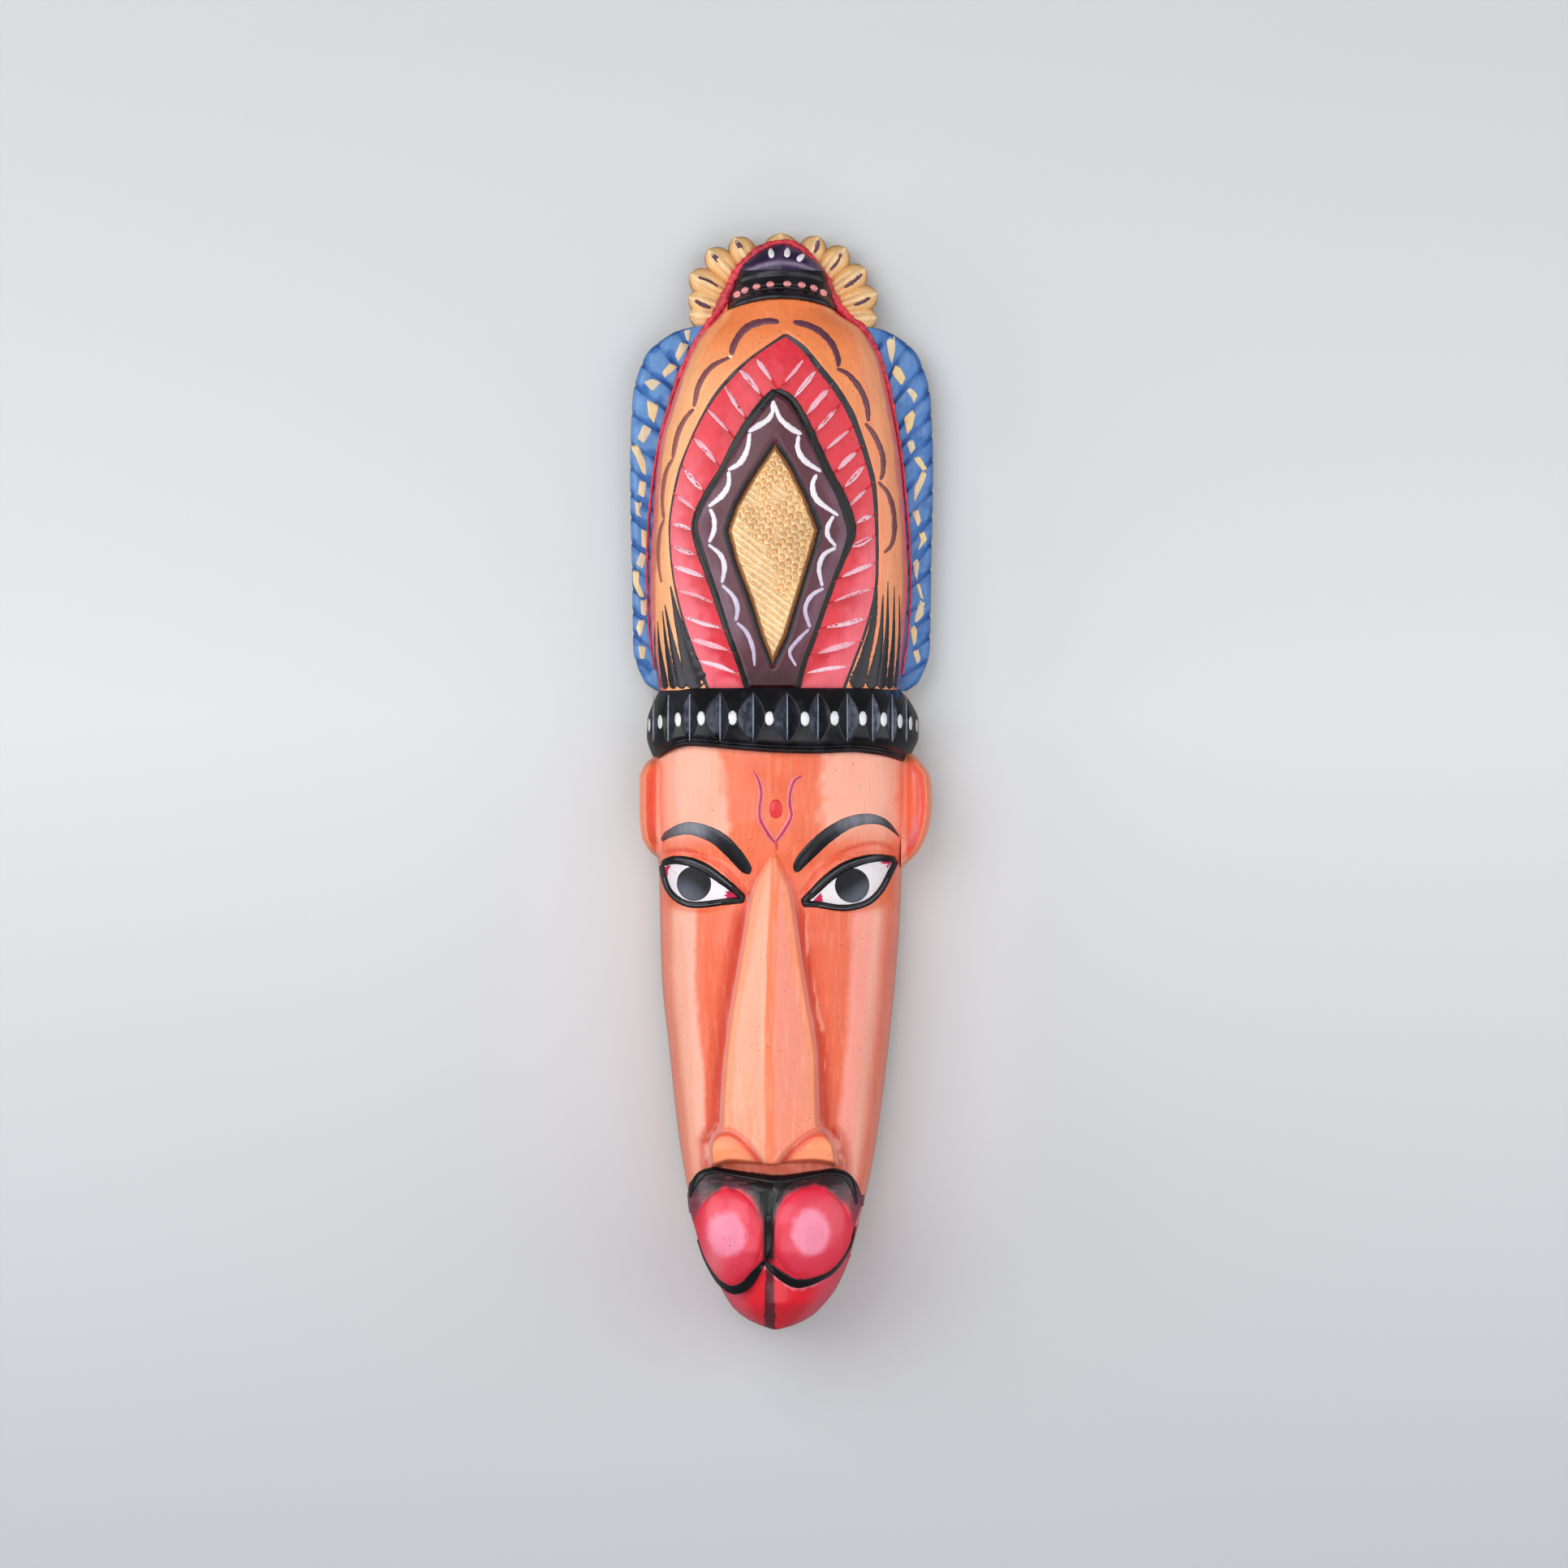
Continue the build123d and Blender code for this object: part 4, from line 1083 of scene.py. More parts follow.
DASHES = [
    [(-36.3, 61.8), (-33.9, 62.7), (-34.5, 57.9), (-35.4, 58.8)],
    [(-37.5, 57.9), (-34.5, 56.4), (-38.4, 50.4), (-39.6, 52.8)],
    [(-41.4, 50.1), (-38.7, 48.3), (-43.5, 44.4), (-44.4, 46.5)],
    [(-48, 44.1), (-44.7, 42.9), (-48, 39.3), (-51.3, 42.9)],
    [(-50.1, 36.3), (-45.6, 34.2), (-47.4, 27.3), (-49.5, 30.3)],
    [(-51.3, 27.3), (-48, 25.5), (-51.3, 19.8), (-53.7, 21.9)],
    [(-55.9, 18.6), (-53.4, 19.2), (-50.6, 13.4), (-50.2, 7.6), (-51.9, 9.3), (-54.4, 15.4)],
    [(-52.8, 6.3), (-50.2, 5.7), (-51, -0.3), (-53.4, 1.2)],
    [(-54.6, -1.5), (-51.8, -2.1), (-52.9, -4.9), (-52.1, -7.6), (-54, -6.3)],
    [(-52.2, -11.7), (-50.1, -12.3), (-50.1, -19.2), (-51.9, -18.3)],
    [(-52.5, -20.1), (-50.1, -21.6), (-51.6, -26.7), (-54, -24.6)],
    [(-55.2, -27.5), (-52.8, -27.9), (-53.2, -31.2), (-50.9, -37), (-52.9, -36.6), (-55, -32.1)],
    [(-52.5, -38.1), (-49.8, -38.1), (-50.4, -44.1), (-52.2, -43.8)],
    [(-52.8, -45.3), (-50.7, -45.9), (-52.5, -52.2), (-54, -48.6)],
    [(-53.2, -55.2), (-50.4, -55.5), (-51, -60.3), (-52.6, -59.7)],
    [(38.9, 58.6), (42.2, 59.6), (42.2, 54.3), (41, 49.3), (39.8, 52.8)],
    [(42.3, 48.9), (44.1, 48.3), (46.2, 44.4), (44.7, 41.4), (41.1, 45.9)],
    [(46.2, 39.9), (48, 40.8), (50.7, 38.1), (49.2, 34.8), (48.3, 37.2)],
    [(45.6, 29.4), (48.6, 32.4), (49.8, 30.9), (48.6, 25.8), (46.6, 23.2)],
    [(46.5, 20.7), (48.9, 21.3), (49.8, 18.3), (48, 15.9)],
    [(49.2, 14.7), (51.3, 15.3), (54, 10.8), (52.5, 9.9), (50.1, 12.9)],
    [(52.2, 9.7), (54.2, 9.1), (53, 5.7), (50.9, 1.3), (49.3, -1.9), (49.3, 3.3)],
    [(48.6, -5.7), (50.7, -4.2), (51.9, -8.7), (50.7, -11.1)],
    [(51, -13.5), (53.1, -12.6), (54, -15.6), (52.2, -18), (50.6, -20), (51.9, -15.9)],
    [(48.8, -24.3), (50.1, -22.8), (51.3, -24.3), (50.4, -30.9), (49.5, -28.8)],
    [(50.1, -32.1), (51.3, -32.1), (52.8, -38.1), (51.6, -37.2)],
    [(51.6, -38.1), (53.2, -39.3), (52.6, -43.8), (50.6, -46.6), (49.3, -46.3), (50.3, -41.7)],
    [(47.9, -49.2), (49.2, -47.7), (50.4, -49.2), (50.1, -53.7), (49.1, -55.6)],
    [(48.8, -57.3), (50.7, -56.3), (51.7, -60.1), (50.5, -62.2)]]
wing_dashes = Strokes()
left_face, right_face = (Face(lambda x, z, cut=cut: np.minimum(wing_front(x, z, cut, wing_edge(z))[0],
    -10.4)) for cut in (GROOVES_LEFT, GROOVES_RIGHT))
for number, corners in enumerate(DASHES):
    ring = np.array(corners + corners[:1], float)
    even = np.linspace(0, len(corners), 48, endpoint=False)
    loop = np.column_stack([np.interp(even, np.arange(len(ring)), ring[:, k]) for k in (0, 1)])
    loop = loop.mean(axis=0) + (loop - loop.mean(axis=0)) * 1.1
    for _ in range(2):
        loop = (loop + np.roll(loop, 1, axis=0) + np.roll(loop, -1, axis=0)) / 3
    host = left_face if corners[0][0] < 0 else right_face
    cream = rgb(232, 206, 150) if corners[0][0] < 0 else rgb(238, 208, 140)
    colour = blend(cream, rgb(196, 196, 190), 0.25 + 0.25 * math.sin(number * 2.7))
    wing_dashes.fill(host, loop, colour, 0.12, rings=5)
wing_dashes.piece("wing_dashes", STROKE, "blue_paint")


def seam_depth(x, z):
    """Depth of the red filler: on the boards beside the dome, over the petals beside the finial."""
    return -11.6 - 1.3 * ease(60, 76, z)


BEAD = [(-47.2, -64, 0.5), (-49.2, -50, 0.6), (-50, -32, 0.7), (-49.6, -12, 0.8), (-47.9, 6, 0.9),
    (-45.9, 18, 1), (-43.5, 28, 1.1), (-40.8, 36.8, 1.2), (-37.9, 45, 1.25), (-34.3, 52.6, 1.3),
    (-30.3, 59.6, 1.35), (-25.6, 66.1, 1.5), (-21.9, 72.4, 1.8), (-19.4, 77.6, 2), (-16.8, 82.6, 2),
    (-12.9, 87.4, 1.8), (-7.9, 91.8, 1.5), (-3, 94.2, 1.1), (2.2, 94.6, 1.1), (6.4, 92.8, 1.3),
    (11, 88.2, 1.6), (14.8, 82.8, 1.8), (17.6, 77.6, 1.9), (20.2, 72.4, 1.8), (24.2, 67.6, 1.6),
    (29.4, 63.3, 1.4), (33.2, 58.4, 1.3), (36.3, 51.4, 1.2), (39.3, 42.6, 1.15), (41.4, 33.4, 1.1),
    (43.1, 24.5, 1.05), (44.6, 14.6, 1), (46, 2, 0.9), (47.4, -14, 0.8), (48, -32, 0.7), (47.2, -50, 0.6),
    (44.9, -66, 0.7)]
bead_path = smooth_path(BEAD, 0.7)
bead_spots = np.column_stack([bead_path[:, 0], seam_depth(bead_path[:, 0], bead_path[:, 1]),
                              bead_path[:, 1]])
bead("seam_filler_bead", bead_spots, bead_path[:, 2] * (0.55 + 0.45 * ease(20, 66, bead_path[:, 1])),
     rgb(214, 46, 66), FILLER, "red_filler", "seam_filler", seed=81)

# ---------------------------------------------------------------- headband
band_left = curve((-99, -46.5), (-95, -48.5), (-89, -50.2), (-83, -50), (-77, -48.2), (-71, -45.2))
band_right = curve((-99, 46.8), (-95, 48.6), (-89, 51), (-83, 51), (-77, 48.6), (-71, 43.6))
band_depth = curve((-99, 50.5), (-95, 51.5), (-89, 54.5), (-83, 55.5), (-77, 53.0), (-72, 49.2), (-71, 48.2))
DOTS = [(-49.2, -84.6), (-44.9, -83.6), (-38.2, -82.8), (-29.6, -82.4), (-18, -82.3), (-4.5, -82.5),
    (8.6, -82.6), (19.5, -82.4), (29.9, -82.4), (37.7, -82.8), (43.8, -83.4), (47.8, -84), (50.2, -84.8)]
BAND_TOP = -71.2
CREASES = [-47.6, -41.9, -33.9, -22.6, -10.4, 2.1, 13.4, 24.2, 33.6, 40.9, 46.2, 49.4]
band_foot = curve((-52, -98.6), (-46.5, -97.4), (-42, -94.8), (-38, -93.2), (-33.9, -92.6), (-24.9, -93.2),
    (-14.1, -94.2), (-0.9, -95.1), (12.3, -95.4), (26.1, -94.9), (36, -95.9), (42, -97.4), (46, -98.9),
    (52, -99.4))


def work_band(x, z):
    """Lens-shaped V notches cut across the band, and a thin roll along its lower edge."""
    out = np.zeros(np.shape(x))
    for number, crease in enumerate(CREASES):
        before, after = DOTS[number][0], DOTS[number + 1][0]
        width = np.where(x < crease, crease - before, after - crease) - 0.11 * (after - before)
        lens = np.clip(1 - np.abs((z + 82.2) / 9.4) ** 1.7, 0, 1)
        span = np.maximum(width * lens, 0.02)
        deep = (0.40 * (after - before) + 0.6) * lens ** 0.8
        out = out - deep * np.clip(1 - np.abs(x - crease) / span, 0, 1)
    up = z - band_foot(x)
    out = out - 1.1 * bell(up - 2.5, 0.8) + 0.8 * bell(up - 1.1, 0.75)
    return out + 0.05 * noise(x, z, 1.1, 92) * ease(0.3, 1.5, -out) + 0.08 * noise(x, z, 6, 91)


band = HalfRound(band_left, band_right, band_depth, 0.0, 0.72, work_band)


def level(z):
    """An edge at one height all the way across."""
    return lambda x: z + 0 * np.asarray(x, float)


def between_grid(host, foot, top, rows, cols, reach=88.0):
    """Grid of a half-round host between a lower and an upper edge that vary along X."""
    share = np.linspace(0, 1, rows)[:, None] * np.ones(cols)
    turn = np.sin(np.radians(np.linspace(-reach, reach, cols)))[None, :]
    z = foot(0.0) + (top(0.0) - foot(0.0)) * share
    for _ in range(4):
        middle, half = host.span(z)
        x = middle + half * turn
        z = foot(x) + (top(x) - foot(x)) * share
    return x, z, host.y(x, z)


def paint_band(x, z, y):
    colour = blend(rgb(12, 12, 16), rgb(30, 30, 38), ease(-0.2, 0.8, noise(x, z, 3.5, 93)))
    cut = work_band(x, z)
    right_facet = np.zeros(np.shape(x))
    for crease in CREASES:
        right_facet = np.maximum(right_facet, ease(0, 0.3, x - crease) * ease(6.5, 5.5, x - crease))
    # brushed: streaks within the grey painted reflection on the facets
    brushed = ease(-0.5, 0.5, noise(x * 0.8, z * 0.5, 0.9, 94) + 0.5 * noise(x, z, 5, 95))
    facet = ease(-0.25, -0.7, cut) * ease(4.2, 5.6, z - band_foot(x))
    # lit picks one facet of each notch: the other facet gets painted shade, the lit one a streaked grey
    # painted reflection
    lit = np.where(noise(np.floor((x + 60) / 13.0) * 9.1, 0 * z, 1.0, 97) > 0, right_facet, 1 - right_facet)
    colour = blend(colour, rgb(6, 6, 9), facet * (1 - lit) * 0.8)
    return blend(colour, rgb(104, 110, 128), facet * (0.35 + 0.5 * brushed) * (0.12 + 0.75 * lit))


carve("headband_carved", between_grid(band, band_foot, level(BAND_TOP), 190, 460), -0.6, paint_band,
      [BLACK, BARE_WOOD], "black_paint", "headband")
# thin grey strokes down the creases: painted highlights
glints = Strokes()
for crease in CREASES[:-1]:
    glints.brush(band, [(crease, -73.2, 0.35), (crease, -78, 0.6), (crease, -86, 0.6),
                        (crease, -91.0, 0.35)], rgb(140, 146, 164), 0.12, ragged=0.2)
glints.piece("headband_crease_highlights", BLACK, "black_paint")
dots = Strokes()
for x, z in DOTS:
    narrow = math.sqrt(max(0.0, 1 - (x / 52.0) ** 2))
    steep = 0.015 * abs(x) / max(narrow, 0.1) ** 1.28
    wide = min(0.8 + 3.1 * narrow, 3.5 / math.hypot(1, steep))
    dots.spot(band, x, z, wide, 5.5, rgb(236, 236, 240), 0.4)
dots.piece("headband_dots", STROKE, "black_paint")

# ---------------------------------------------------------------- face
FACE_FOOT, FACE_TOP = -294.0, -90.0
face_left = curve((-294, -22.2), (-290.7, -23.9), (-287, -26), (-281.7, -28.7), (-270, -32.4),
    (-257, -34.9), (-236.7, -38.4), (-206.7, -41.7), (-176.7, -44.7), (-155.7, -45.3), (-140.7, -45.6),
    (-125, -46.6), (-110, -47.2), (-95, -46.8), (-90, -46.6))
face_right = curve((-294, 19.8), (-287, 23), (-281.1, 25.5), (-266.7, 29.4), (-251.7, 33), (-236.7, 35.7),
    (-206.7, 39.6), (-176.7, 42.6), (-155.7, 44.1), (-140.7, 44.7), (-125, 46), (-110, 47), (-95, 46.8),
    (-90, 46.6))
face_depth = curve((-294, 35), (-287, 40), (-270, 46), (-250, 49.5), (-235, 50), (-205, 50), (-170, 48.5),
    (-150, 47.6), (-140, 47), (-120, 49.5), (-95, 49.5))

LID_LEFT = [(-44.7, -136.5), (-39.9, -135.0), (-33.9, -135.6), (-28.5, -137.8), (-23.4, -141.2),
            (-18.3, -145.0), (-13.5, -149.1)]
LOWER_LEFT = [(-44.7, -136.5), (-43.7, -140.7), (-42, -145.4), (-38.4, -149.1), (-33.9, -150.9),
    (-28.5, -150.9), (-21.9, -150), (-13.5, -149.1)]
LID_RIGHT = [(7.4, -150.6), (11.1, -147.3), (17.1, -141.6), (23.1, -137.5), (29.1, -135.2), (35.1, -134.2),
             (42.6, -134.6)]
LOWER_RIGHT = [(7.4, -150.6), (13.2, -150.8), (20.1, -152), (26.1, -151.9), (32.1, -150), (36.4, -146.1),
    (39.4, -141), (42.6, -134.6)]
CREASE_LEFT = [(-45.3, -132.3), (-38.4, -131.4), (-30.9, -132.6), (-23.4, -136.2), (-17.4, -141.6),
               (-12.9, -147.2)]
CREASE_RIGHT = [(7.6, -146.7), (12.6, -140.1), (18.6, -134.4), (26.1, -130.4), (33.6, -128.8),
                (39.6, -129.8), (42.9, -133.2)]
BROW_LEFT = [(-44.6, -127.6, 1.6), (-41.4, -124.9, 3.6), (-33.9, -122.9, 5.4), (-24.9, -125.7, 6.2),
    (-18.6, -130.9, 6.4), (-13.2, -137.4, 5), (-11.9, -139.8, 2.2)]
BROW_RIGHT = [(5.2, -139, 2.6), (6.8, -135.6, 5), (11.1, -130.8, 6), (17.1, -125.4, 6),
    (24.6, -120.9, 5.2), (32.1, -119.4, 4.4), (38.4, -121, 2.9), (43.9, -126.2, 0.5)]
EYES = [(-30.6, -143.6, 16.0), (26.0, -143.4, 17.0)]


def between(x, z, upper, lower):
    """True between an upper and a lower line that share their ends, left to right."""
    up, low = smooth_path(upper, 0.8), smooth_path(lower, 0.8)
    return inside(x, z, np.vstack([up, low[::-1]]))


def work_face(x, z):
    """Sockets, eyeballs, lid creases, brow ridges, cheeks and the hollow beside the nose."""
    out = np.zeros(np.shape(x))
    for middle_x, middle_z, wide in EYES:
        out = out - 1.3 * np.exp(-((x - middle_x) / 19) ** 2 - ((z - middle_z + 1) / 11) ** 2)
        ball = 1 - ((x - middle_x) / (wide * 1.02)) ** 2 - ((z - middle_z) / 10.5) ** 2
        out = out + 2.6 * np.clip(ball, 0, 1) ** 0.7
    for crease in (CREASE_LEFT, CREASE_RIGHT):
        out = out - 0.8 * bell(line_distance(x, z, smooth_path(crease, 1.5)), 0.8)
    for brow in (BROW_LEFT, BROW_RIGHT):
        path = smooth_path([p[:2] for p in brow], 1.5)
        out = out + 0.9 * bell(line_distance(x, z, path), 4.2)
    beside = np.where(x < -3, nose_left(z) - x, x - nose_right(z))
    low = ease(-140, -170, z)
    out = out - (1.6 + 0.8 * low) * bell(beside, 3.2) * ease(-133, -150, z)
    out = out + 1.1 * low * bell(beside - 13, 8) * ease(-262, -235, z)
    lip = ease(-242, -245.5, z) * ease(-255, -250, z) * ease(-27, -23, x) * ease(22, 18, x)
    out = out + 8.5 * lip
    return out + 0.22 * noise(x, z, 11, 101) + 0.06 * noise(x * 2.2, z * 0.5, 3, 102)


nose_left = curve((-129.4, -2.4), (-131.6, -3.9), (-135.6, -6.3), (-143.7, -10.5), (-151.2, -12.6),
    (-158.7, -13.8), (-167.7, -15.3), (-179.7, -17.4), (-191.7, -19.5), (-203.7, -21), (-215.7, -22.2),
    (-227.7, -22.8), (-231.6, -23), (-235.2, -25), (-239.7, -26.9), (-247.4, -26.4))
nose_right = curve((-129.4, -2), (-132.4, -1), (-139.2, 1.4), (-146.7, 4.3), (-155.7, 5.7), (-164.7, 6.9),
    (-176.7, 8.7), (-187.2, 10.5), (-197.7, 12.4), (-206.7, 13.4), (-221.7, 13.9), (-231.6, 14.3),
    (-235.2, 17.4), (-239.7, 20.1), (-246.6, 21))
face = HalfRound(face_left, face_right, face_depth, 0.0,
                 curve((-287, 0.34), (-255, 0.40), (-236, 0.60), (-215, 0.66), (-90, 0.66)), work_face)

SKIN, SKIN_DEEP, SKIN_DARK = rgb(246, 121, 79), rgb(235, 99, 57), rgb(214, 70, 42)
SKIN_PALE, SKIN_PINK = rgb(255, 184, 160), rgb(255, 160, 144)


def paint_face(x, z, y):
    """Orange skin with pale painted reflections on the brow and cheeks and deep orange beside the nose."""
    share = face.share(x, z)
    soft = 0.022 * noise(x, z * 0.35, 5, 111) + 0.008 * noise(x, z, 1.6, 112)
    colour = blend(SKIN, SKIN_DEEP, 0.5 + 0.5 * noise(x, z, 9, 113))
    # pale patches on the brow, left and right: painted reflections of the lamps in the varnish
    brow_zone = ease(-132, -124, z + 30 * soft)
    blot = 3.4 * noise(x, z, 8, 121) + 1.5 * noise(x, z, 2.6, 122)
    left_sheen = ease(-19.5, -24, x + blot + 0.18 * (z + 110)) * ease(-49, -46, x) * brow_zone
    right_sheen = ease(13, 18.5, x + blot) * ease(47, 42, x + 0.5 * blot) * brow_zone
    colour = blend(colour, SKIN_PALE, np.maximum(left_sheen, right_sheen) * 0.82)
    cheek = ease(-149, -156, z)
    # pale bands and streaks down the cheeks' sides: painted reflections of the lamps in the varnish, weaker
    # at the very edge
    cheek_sheen_left, cheek_sheen_right = ease(-0.66, -0.72, share + soft), ease(0.56, 0.64, share + soft)
    colour = blend(colour, SKIN_DEEP, cheek * 0.8)
    turned = 1 - 0.6 * ease(0.80, 0.93, np.abs(share) + soft)
    colour = layers(
        colour,
        (SKIN_PALE, cheek * cheek_sheen_left * 0.8 * turned),
        (SKIN_PINK, cheek * cheek_sheen_right * 0.85 * turned))
    sheen_streak = bell(share + 0.86, 0.05) + 0.8 * bell(share - 0.80, 0.05)
    colour = blend(colour, rgb(255, 196, 172), cheek * sheen_streak * 0.5)
    beside = np.where(x < -3, nose_left(z) - x, x - nose_right(z))
    colour = blend(colour, SKIN_DARK, cheek * ease(7.5, 1.0, beside + 20 * soft) * 0.85)
    streak = bell(beside - 2.4 - 40 * soft, 0.8) * (x > 0) * ease(-150, -160, z)
    colour = blend(colour, rgb(255, 178, 150), streak * ease(-0.1, 0.5, noise(x * 3, z * 0.4, 3, 114)) * 0.8)
    low = ease(-225, -240, z)
    colour = blend(colour, SKIN_PALE, low * ease(2.5, 1.0, beside) * 0.6
                   * ease(-0.4, 0.4, noise(x, z, 2, 115)))
    near = np.minimum(line_distance(x, z, smooth_path(CREASE_LEFT, 1.5)),
                      line_distance(x, z, smooth_path(CREASE_RIGHT, 1.5)))
    colour = layers(
        colour,
        (rgb(232, 62, 46), bell(near, 0.8) * 0.75),
        (rgb(246, 116, 84), bell(near - 3, 3) * 0.35),
        (SKIN_PINK, ease(0.9, 0.98, np.abs(share)) * 0.6),
        (rgb(214, 36, 60), ease(-265.5, -267.5, z - 0.12 * y + 0.8 * noise(x, y, 3, 117))))
    # painted shadow under the nose
    under = ease(-243.5, -247.5, z) * ease(-250.5, -249, z) * ease(-27.5, -25.5, x) * ease(22, 20, x)
    colour = blend(colour, rgb(206, 92, 62), under * 0.9)
    fine = noise(x * 3.2, z * 0.35, 2.2, 116)
    return blend(colour, rgb(255, 190, 160), ease(0.0, 0.9, fine) * 0.12)


hollow_half = curve((-280, 10), (-276, 14.5), (-262, 23), (-230, 28.5), (-180, 32.5), (-135, 34),
    (-116, 30), (-106, 22), (-101, 10))
hollow_depth = curve((-280, 0.5), (-275, 13), (-262, 28), (-230, 35), (-180, 36), (-135, 34), (-116, 26),
    (-106, 12), (-101, 0.5))


def face_hollow(x, z):
    """Depth of the hollow behind the face, with the marks of the gouge in it."""
    rise = np.sqrt(np.clip(1 - (x / hollow_half(z)) ** 2, 0, 1))
    return -(hollow_depth(z) + 0.7 * noise(x, z * 0.3, 5, 118)) * rise


carve("face_block_carved", face.grid(FACE_FOOT, FACE_TOP, 377, 241), 0.0, paint_face, [FACE, BARE_WOOD],
      "face_paint", "face_block", hollow=(4, 4, -280.0, -101.0, hollow_half, face_hollow))

eyes = Strokes()
EYE_WHITE, EYE_SHADE = rgb(246, 240, 242), rgb(228, 218, 226)


IRIS_RADIUS = 6.7


def clipped(outline, middle_x, middle_z, radius, sides=60):
    """Round outline cut to lie within another closed outline, star-wise from its middle."""
    out = []
    for a in np.linspace(0, 2 * math.pi, sides, endpoint=False):
        reach = np.linspace(0.2, 1, 40)
        px = middle_x + radius * math.cos(a) * reach
        pz = middle_z + radius * math.sin(a) * reach
        good = inside(px, pz, outline)
        last = reach[good][-1] if good.any() else 0.2
        out.append((middle_x + radius * math.cos(a) * last, middle_z + radius * math.sin(a) * last))
    return out


IRIS_GREY, IRIS_DARK = rgb(86, 92, 106), rgb(14, 14, 18)
CORNERS_LEFT = ([(-15.2, -148.9), (-16.6, -147), (-18, -146), (-19.6, -144.3), (-19.3, -145.7),
    (-21.4, -145.9), (-20.3, -146.8), (-22, -147.9), (-20.4, -148.2), (-21, -149.4), (-17.6, -149.3)],
    [(-43.9, -137), (-42, -136.2), (-40.4, -136.1), (-41.6, -137.2), (-42.1, -138.6), (-42, -140.6),
    (-42.9, -142), (-43.4, -140.2)])
CORNERS_RIGHT = ([(10.2, -150.2), (12.4, -148.2), (14.6, -145.9), (14.8, -147.2), (15.6, -147.6),
    (14.9, -148.4), (15.8, -149.6), (14.2, -150.4)], [(41.2, -135.2), (38.2, -135), (35.4, -135.2),
    (37, -135.9), (38.6, -136.2), (39.2, -137.8), (40.4, -137)])


def iris_paint(px, pz):
    """Grey iris, black under the upper lid and on the nose side."""
    nose_side = 1 if px < 0 else -1

    def paint(x, z):
        u, v = (x - px) / IRIS_RADIUS, (z - pz) / IRIS_RADIUS
        dark = ease(-0.85, 0.3, v + 0.6 * nose_side * u + 0.15 * noise(x, z, 2.6, 119))
        dark = dark + 0.6 * ease(0.85, 1.0, np.hypot(u, v))
        return blend(IRIS_GREY, IRIS_DARK, dark)
    return paint


for lid, lower, iris, corners in (
        (LID_LEFT, LOWER_LEFT, (-32.3, -143.3), CORNERS_LEFT),
        (LID_RIGHT, LOWER_RIGHT, (26.0, -143.9), CORNERS_RIGHT)):
    ring = np.vstack([smooth_path(lid, 0.6), smooth_path(lower, 0.6)[::-1]])
    eyes.fill(face, ring, EYE_WHITE, 0.28, rings=8, crown=False, edge_colour=EYE_SHADE)
    for corner in corners:
        eyes.fill(face, corner, rgb(198, 30, 76), 0.42, rings=3, crown=False)
    eyes.fill(face, clipped(ring, *iris, IRIS_RADIUS), iris_paint(*iris), 0.46, rings=12, crown=False)
eyes.piece("eyes_painted", EYE, "face_paint")

RIM_GLINT = rgb(120, 124, 136)
rims = Strokes()
RIM = rgb(14, 14, 18)
for lid, lower in ((LID_LEFT, LOWER_LEFT), (LID_RIGHT, LOWER_RIGHT)):
    count = len(lid) - 1
    wide = [2.0 + 2.3 * math.sin(math.pi * min(1.0, 0.12 + 0.8 * k / count)) for k in range(count + 1)]
    rims.brush(face, [(x, z + 0.3, w) for (x, z), w in zip(lid, wide)], RIM, 0.85, ragged=0.05)
    rims.brush(face, [(x, z, 2.9) for x, z in lower], RIM, 0.9, ragged=0.06)
    rims.brush(face, [(x, z + 0.7, 0.5) for x, z in lid[1:-1]], RIM_GLINT, 1.0, ragged=0.3)
    rims.brush(face, [(x, z - 0.3, 0.5) for x, z in lower[1:-1]], RIM_GLINT, 1.05, ragged=0.3)


def brow_paint(x, z):
    """Black, with a grey painted reflection over the outer half of the brow."""
    # thin: where the grey painted reflection lies
    thin = bell(x + 34.5, 7.5) + 0.9 * bell(x - 29.5, 8.0)
    return blend(rgb(20, 20, 26), rgb(150, 152, 164), thin * (0.75 + 0.25 * noise(x, z, 2, 120)))


for brow in (BROW_LEFT, BROW_RIGHT):
    rims.brush(face, brow, brow_paint, 0.3, ragged=0.03)
rims.piece("eye_rims_and_brows", BLACK, "face_paint")

mark = Strokes()
MARK_LEFT = [(-10.5, -101.7, 0.5), (-8.4, -105.3, 1), (-7.5, -110.1, 1.2), (-8.1, -115.2, 1.2),
    (-7.8, -119.7, 1.3), (-4.8, -125.1, 1.4), (-2.4, -128.1, 0.9)]
MARK_RIGHT = [(7.5, -103.5, 0.6), (4.8, -105.3, 1.2), (3.3, -109.2, 1.2), (3, -113.7, 1.2),
    (3.6, -118.2, 1.3), (1.5, -122.7, 1.4), (-1.8, -127.5, 0.9)]
for points in (MARK_LEFT, MARK_RIGHT):
    mark.brush(face, widened(points, 1.9), rgb(232, 134, 146), 0.16, ragged=0.2)
    mark.brush(face, points, rgb(196, 28, 62), 0.3, ragged=0.2)
mark.brush(face, [(-2.1, -127.2, 0.9), (-1.9, -129.0, 1.3), (-1.8, -131.0, 0.7)], rgb(220, 60, 80), 0.3)
mark.spot(face, -2.1, -115.8, 5.2, 7.4, rgb(226, 40, 44), 0.3)
mark.piece("forehead_mark", STROKE, "face_paint")

